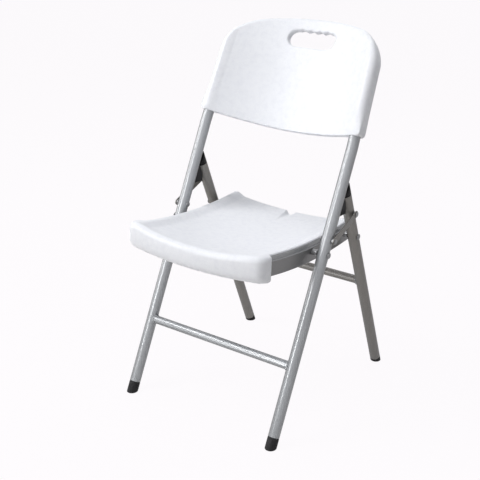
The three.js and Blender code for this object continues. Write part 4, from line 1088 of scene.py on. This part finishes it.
def make_foot(side, place, leg_start, finish, body, node):
    """Rubber foot plugged into a leg, with a rolled rim against the steel, cut level with the floor."""
    def at(a, b, along):
        return place(side * LEG_X + a, b, along)

    insert = LEG_R - LEG_WALL - CLEARANCE
    top, end = leg_start - CLEARANCE, leg_start + FOOT_INSERT
    profile = [(-16, LEG_R), (top - 2.2, LEG_R), (top - 1.4, LEG_R - 0.7), (top - 0.8, LEG_R - 0.1),
               (top, LEG_R - 0.5), (top, insert), (end - 2, insert), (end, insert - 2)]
    foot = turned(node + "_plug", at, profile, finish, sides=56)
    clipped(foot, (0, 0, 0), (0, 0, -1))
    soften_edges(foot, 0.9, 3)
    return stands_for(foot, body, "dark_rubber", node)


def make_top_plug(side, finish):
    """Plug in a rear leg's upper end, with a collar on the steel, cut flat to rest on the front leg."""
    def at(a, b, along):
        return on_rear(side * LEG_X + a, b, along)

    insert = LEG_R - LEG_WALL - CLEARANCE
    start, rim = REAR_LEG_END - PLUG_INSERT, REAR_LEG_END + CLEARANCE
    profile = [(start, insert - 1), (start + 2, insert), (rim, insert), (rim, LEG_R - 0.4),
               (rim + 0.5, LEG_R), (rim + 2.4, LEG_R), (rim + 3, LEG_R - 0.5), (rim + 3.6, LEG_R),
               (rim + 60, LEG_R)]
    plug = turned("leg_end_plug_" + SIDE_NAME[side], at, profile, finish, sides=56)
    forwards = on_front(0, 0, 560) - on_front(0, 1, 560)
    clipped(plug, on_front(0, LEG_R + CLEARANCE, 560), forwards)
    soften_edges(plug, 0.5, 2)
    return stands_for(plug, "rear_frame", "black_plastic", "top_plug_" + SIDE_NAME[side])


def stop_peg(side, radius, start, end, finish):
    """A round peg, or the hole for one, square to a front leg behind its axis."""
    def at(a, b, behind):
        return on_front(side * LEG_X + a, behind, STOP_PEG_AT + b)
    return turned("stop_peg", at, [(start, radius), (end, radius)], finish, sides=24)


def make_stop_block(side, finish):
    """Wedge on the back of a front leg, which the opened rear leg comes to rest on."""
    rear_cos, rear_tan = math.cos(REAR_LEAN), math.tan(REAR_LEAN)
    corners = [(STOP_LOW * math.tan(FRONT_LEAN), STOP_LOW)]
    for share, gap in STOP_GAPS:
        z = STOP_LOW + share * (STOP_HIGH - STOP_LOW)
        corners.append((FOOT_SPREAD - z * rear_tan - LEG_R / rear_cos - gap, z))
    corners.append((STOP_HIGH * math.tan(FRONT_LEAN), STOP_HIGH))
    rings = []
    for k in range(9):
        x = side * LEG_X + STOP_WIDTH * (k / 8 - 0.5)
        rings.append([on_chair(x, y, z) for y, z in corners])
    block = lofted("stop_wedge_" + SIDE_NAME[side], rings, finish)
    cut_away(block, [leg_shape("leg_seat", side, on_front, 440, 620)])
    soften_edges(block, 0.8, 3)
    half = STOP_PEG_LENGTH / 2
    combine(block, "UNION", [stop_peg(side, STOP_PEG_R, LEG_R - half, LEG_R + half, finish)])
    return stands_for(block, "front_frame", "black_plastic", "stop_block_" + SIDE_NAME[side])


# ---------------------------------------------------------------- rivets, spacers and screws

def places_mesh(name, places):
    """A mesh of loose points, each with the way its fastener faces."""
    mesh = bpy.data.meshes.new(name)
    mesh.from_pydata([tuple(p) for p, _ in places], [], [])
    facing = mesh.attributes.new("facing", "FLOAT_VECTOR", "POINT")
    for item, (_, way) in zip(facing.data, places):
        item.vector = way
    return mesh


def turned_about_z(name, profile):
    """A turned solid with its seat at the origin, to be placed by the fastener tree."""
    def place(a, b, height):
        return Vector((a, b, height)) * MM
    return turned(name, place, profile, None, sides=32, smooth_angle=40)


def hidden(shape):
    """Takes a shape that is only placed as instances out of the scene."""
    bpy.context.scene.collection.objects.unlink(shape)
    return shape


def rivet_shape(name, profile):
    return hidden(turned_about_z(name, profile))


def screw_shape():
    """Pan head with a cross recess, on a short shank."""
    r, h = 4.5, 2.4
    profile = [(-13, 1.2), (-12, 2), (0, 2), (0, r - 0.3), (0.3, r),
               (h * 0.45, r * 0.97), (h * 0.8, r * 0.78), (h, r * 0.45)]
    head = turned_about_z("screw", profile)
    recess = Matrix.Translation((0, 0, 2.1 * MM)) @ Matrix.Diagonal((4.6 * MM, 0.9 * MM, 2.2 * MM, 1))
    slots = []
    for turn in (0, math.pi / 2):
        form = bmesh.new()
        bmesh.ops.create_cube(form, size=1, matrix=Matrix.Rotation(turn, 4, "Z") @ recess)
        mesh = bpy.data.meshes.new("recess")
        form.to_mesh(mesh)
        form.free()
        slot = bpy.data.objects.new("recess", mesh)
        bpy.context.scene.collection.objects.link(slot)
        slots.append(slot)
    cut_away(head, slots, 40)
    return hidden(head)


def pivot_rivet_shape():
    """Rivet through leg, spacer and rail, with a domed head outside and an upset end inside."""
    grip = LEG_X + LEG_R - RAIL_X + RAIL_SHEET + 2 * CLEARANCE
    return rivet_shape("pivot_rivet", [
        (-grip - 2.4, 4.4), (-grip - 1.9, 4.9), (-grip - 0.4, 5), (-grip, 4.8),
        (-grip, PIVOT_R), (0, PIVOT_R), (0, 6.7), (0.5, 7), (1.1, 6.9), (1.9, 6.1),
        (2.6, 4.7), (3.05, 2.9), (3.2, 1.2),
    ])


def link_rivet_shapes():
    """The link's front rivet, which goes through the leg, and its rear stud, which ends clear of the leg."""
    thick = LINK_STANDOFF + LINK_THICKNESS + CLEARANCE
    stand, plate, deep = CLEARANCE - thick, -LINK_THICKNESS - 2 * CLEARANCE, -2 * LEG_R - CLEARANCE - thick
    head = [(0, 5.7), (0.4, 6), (0.9, 5.9), (1.6, 5), (2.2, 3.4), (2.6, 1.4)]
    shoulder = [(stand, 5.7), (stand + 0.3, 6), (plate, 6), (plate, LINK_PIN_R), (0, LINK_PIN_R)]
    upset = [(deep - 2, 5), (deep - 1.6, 5.6), (deep, 5.6), (deep, LINK_PIN_R), (stand, LINK_PIN_R)]
    return rivet_shape("link_rivet", upset + shoulder + head), rivet_shape("link_stud", shoulder + head)


def spacer_shape():
    length, bore = SPACER_LENGTH, PIVOT_R + CLEARANCE
    sleeve = [(0, SPACER_R - 0.6), (0.6, SPACER_R), (length - 0.6, SPACER_R), (length, SPACER_R - 0.6),
              (length, bore), (0, bore)]
    return close_ring(rivet_shape("pivot_sleeve", sleeve))


def make_fasteners(zinc):
    tree = fastener_tree()
    outer = LEG_X + LEG_R + CLEARANCE
    link_outside = LEG_X + LEG_R + LINK_STANDOFF + LINK_THICKNESS + CLEARANCE
    pivot, screw, spacer = pivot_rivet_shape(), screw_shape(), spacer_shape()
    through, stud = link_rivet_shapes()

    def fit(name, shape, places, body, nodes):
        values = {"Fastener": shape, "Turn": 6.0, "Seed": 3, "Finish": zinc}
        grown(name, places_mesh(name, places), tree, values, ("rivet_steel", body, nodes))

    def both_sides(pivot_place, x):
        return [(on_chair(s * x, *pivot_place), Vector((s, 0, 0))) for s in SIDES]

    def left_and_right(node):
        return tuple(f"{node}_{SIDE_NAME[s]}" for s in SIDES)

    fit("seat_pivot_rivets", pivot, both_sides(SEAT_PIVOT, outer),
        "front_frame", left_and_right("seat_pivot_rivet"))
    fit("rear_pivot_rivets", pivot, both_sides(REAR_PIVOT, outer),
        "rear_frame", left_and_right("rear_pivot_rivet"))
    fit("link_rivets", through, both_sides(LINK_PIVOT, link_outside),
        "front_frame", left_and_right("link_front_rivet"))
    for side, place in zip(SIDES, both_sides(LINK_REAR, link_outside)):
        name = SIDE_NAME[side]
        fit("link_stud_" + name, stud, [place], "link_" + name, ("link_rear_rivet_" + name,))
    for which, place, body in (("seat", SEAT_PIVOT, "front_frame"), ("rear", REAR_PIVOT, "rear_frame")):
        fit(which + "_pivot_sleeves", spacer, both_sides(place, RAIL_X + CLEARANCE),
            body, left_and_right(which + "_pivot_spacer"))
    behind = (on_front(0, 1, 0) - on_front(0, 0, 0)).normalized()
    places = [(on_front(s * leg_inwards(at), back_lean(at) + ROLL_R + SCREW_SEAT, at), behind)
              for s in SIDES for at in BACK_SCREWS_AT]
    fit("back_panel_screws", screw, places, "front_frame",
        tuple(f"back_screw_{SIDE_NAME[s]}_{k}" for s in SIDES for k in (1, 2)))
    down = Vector((0, 0, -1))
    places = [(on_chair(s * (FLANGE_X + 5), y, rail_top(y) - RAIL_HEIGHT - SCREW_SEAT), down)
              for s in SIDES for y in RAIL_SCREWS_Y]
    fit("seat_rail_screws", screw, places, "seat",
        tuple(f"rail_screw_{SIDE_NAME[s]}_{k}" for s in SIDES for k in (1, 2, 3)))


def close_ring(shape):
    """Makes a ring of a turned solid whose ends both lie on its bore, by joining its end rings."""
    form = bmesh.new()
    form.from_mesh(shape.data)
    ends = [face for face in form.faces if len(face.verts) > 4]
    bmesh.ops.delete(form, geom=ends, context="FACES_ONLY")
    edges = [edge for edge in form.edges if edge.is_boundary]
    bmesh.ops.bridge_loops(form, edges=edges)
    bmesh.ops.recalc_face_normals(form, faces=form.faces)
    form.to_mesh(shape.data)
    form.free()
    shade(shape.data, 40)
    return shape


# ---------------------------------------------------------------- camera, floor and light

def make_camera():
    """Looks at the chair from its front right, a little from above, and tipped slightly."""
    turn, rise, roll = math.radians(33.917), math.radians(20.418), math.radians(1.991)
    place = Vector((0.9929, -1.565955, 1.0428))
    back = Vector((math.sin(turn) * math.cos(rise), -math.cos(turn) * math.cos(rise), math.sin(rise)))
    right = Vector((math.cos(turn), math.sin(turn), 0))
    up = back.cross(right)
    across = right * math.cos(roll) + up * math.sin(roll)
    upward = up * math.cos(roll) - right * math.sin(roll)
    camera = bpy.data.objects.new("camera", bpy.data.cameras.new("camera"))
    camera.data.sensor_width = 36
    camera.data.lens = 64.83
    camera.data.clip_end = 60
    camera.matrix_world = Matrix.Translation(place) @ Matrix((across, upward, back)).transposed().to_4x4()
    bpy.context.scene.collection.objects.link(camera)
    bpy.context.scene.camera = camera


def seen_or_mirrored(tree):
    """1 for rays that come from the camera, from a mirror or through glass."""
    path = add_node(tree, "ShaderNodeLightPath")
    mirrored = add_node(tree, "ShaderNodeMath", {"operation": "MAXIMUM"},
                        i0=path.outputs["Is Glossy Ray"], i1=path.outputs["Is Transmission Ray"])
    return add_node(tree, "ShaderNodeMath", {"operation": "MAXIMUM"},
                    i0=path.outputs["Is Camera Ray"], i1=mirrored.outputs[0]).outputs[0]


def make_floor():
    """A pale floor that looks white to the camera and in reflections, and keeps a faint shadow."""
    mesh = bpy.data.meshes.new("floor")
    size, white_share = 14, 0.96
    corners = [(-size, -size, 0), (size, -size, 0), (size, size, 0), (-size, size, 0)]
    mesh.from_pydata(corners, [], [(0, 1, 2, 3)])
    floor = bpy.data.objects.new("floor", mesh)
    floor.location.z = -0.5 * MM
    bpy.context.scene.collection.objects.link(floor)
    material = bpy.data.materials.new("studio_floor")
    material.use_nodes = True
    tree = material.node_tree
    shader = tree.nodes["Principled BSDF"]
    shader.inputs["Base Color"].default_value = (*srgb(236, 233, 230), 1)
    shader.inputs["Roughness"].default_value = 0.9
    shader.inputs["Specular IOR Level"].default_value = 0.1
    glow = add_node(tree, "ShaderNodeEmission", None, Strength=1.0)
    glow.inputs["Color"].default_value = (1.0, 0.98, 1.0, 1)
    share = add_node(tree, "ShaderNodeMath", {"operation": "MULTIPLY"},
                     i0=seen_or_mirrored(tree), i1=white_share)
    mixed = add_node(tree, "ShaderNodeMixShader", None, i0=share.outputs[0],
                     i1=shader.outputs["BSDF"], i2=glow.outputs["Emission"])
    tree.links.new(mixed.outputs["Shader"], tree.nodes["Material Output"].inputs["Surface"])
    mesh.materials.append(material)
    floor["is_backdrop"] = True


def lamp(name, place, size, power, reflected_only=False):
    """A rectangular lamp that faces the seat. A reflected one lights nothing but shows in gloss."""
    data = bpy.data.lights.new(name, "AREA")
    data.shape = "RECTANGLE"
    data.size, data.size_y = size
    data.energy = power
    light = bpy.data.objects.new(name, data)
    light.location = place
    light.rotation_mode = "QUATERNION"
    light.rotation_quaternion = (Vector((0, 0, 0.45)) - Vector(place)).to_track_quat("-Z", "Y")
    light.visible_diffuse = not reflected_only
    bpy.context.scene.collection.objects.link(light)


def make_lights():
    lamp("key_softbox", (-1.8, -1.95, 2.56), (1.3, 1.3), 58)
    lamp("front_strip", (-0.85, -2.7, 0.75), (0.2, 1.9), 6.5)
    lamp("glint_strip", (-0.9, -2.6, 0.7), (0.36, 2.1), 50, reflected_only=True)
    lamp("side_panel", (-2.5, -1.0, 0.95), (1.0, 1.8), 32, reflected_only=True)
    lamp("top_softbox", (0.3, -0.4, 3.2), (2.2, 2.2), 30)
    lamp("rear_softbox", (-0.7, 2.7, 2.0), (1.6, 1.6), 9)


def make_world():
    """A dim room light, and white where the camera or a reflection looks past the floor."""
    world = bpy.data.worlds.new("studio")
    world.use_nodes = True
    bpy.context.scene.world = world
    tree = world.node_tree
    room = tree.nodes["Background"]
    room.inputs["Color"].default_value = (0.97, 0.98, 1.0, 1)
    room.inputs["Strength"].default_value = 0.25
    white = add_node(tree, "ShaderNodeBackground", None, Strength=1.0)
    white.inputs["Color"].default_value = (1.0, 0.975, 1.0, 1)
    mixed = add_node(tree, "ShaderNodeMixShader", None, i0=seen_or_mirrored(tree),
                     i1=room.outputs["Background"], i2=white.outputs["Background"])
    tree.links.new(mixed.outputs["Shader"], tree.nodes["World Output"].inputs["Surface"])


# ---------------------------------------------------------------- the chair

make_camera()
finishes = make_materials()
make_back_panel(finishes["plastic"])
make_seat_panel(finishes["plastic"])
make_frame_tubes(finishes["paint"], finishes["rear_paint_shaded"])
make_welds(finishes["paint"])
for side in SIDES:
    make_seat_rail(side, finishes["rail_paint_shaded"], finishes["band_paint_lit"])
    make_link(side, finishes["rear_paint_shaded"])
    make_foot(side, on_front, FRONT_LEG_START, finishes["rubber"],
              "front_frame", "front_foot_" + SIDE_NAME[side])
    make_foot(side, on_rear, REAR_LEG_START, finishes["rubber"],
              "rear_frame", "rear_foot_" + SIDE_NAME[side])
    make_top_plug(side, finishes["black"])
    make_stop_block(side, finishes["black"])
make_fasteners(finishes["zinc"])
make_floor()
make_lights()
make_world()
bpy.context.scene.view_settings.view_transform = "Standard"

boxes = [[list(corner) for corner in box] for box in (frame_box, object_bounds())]
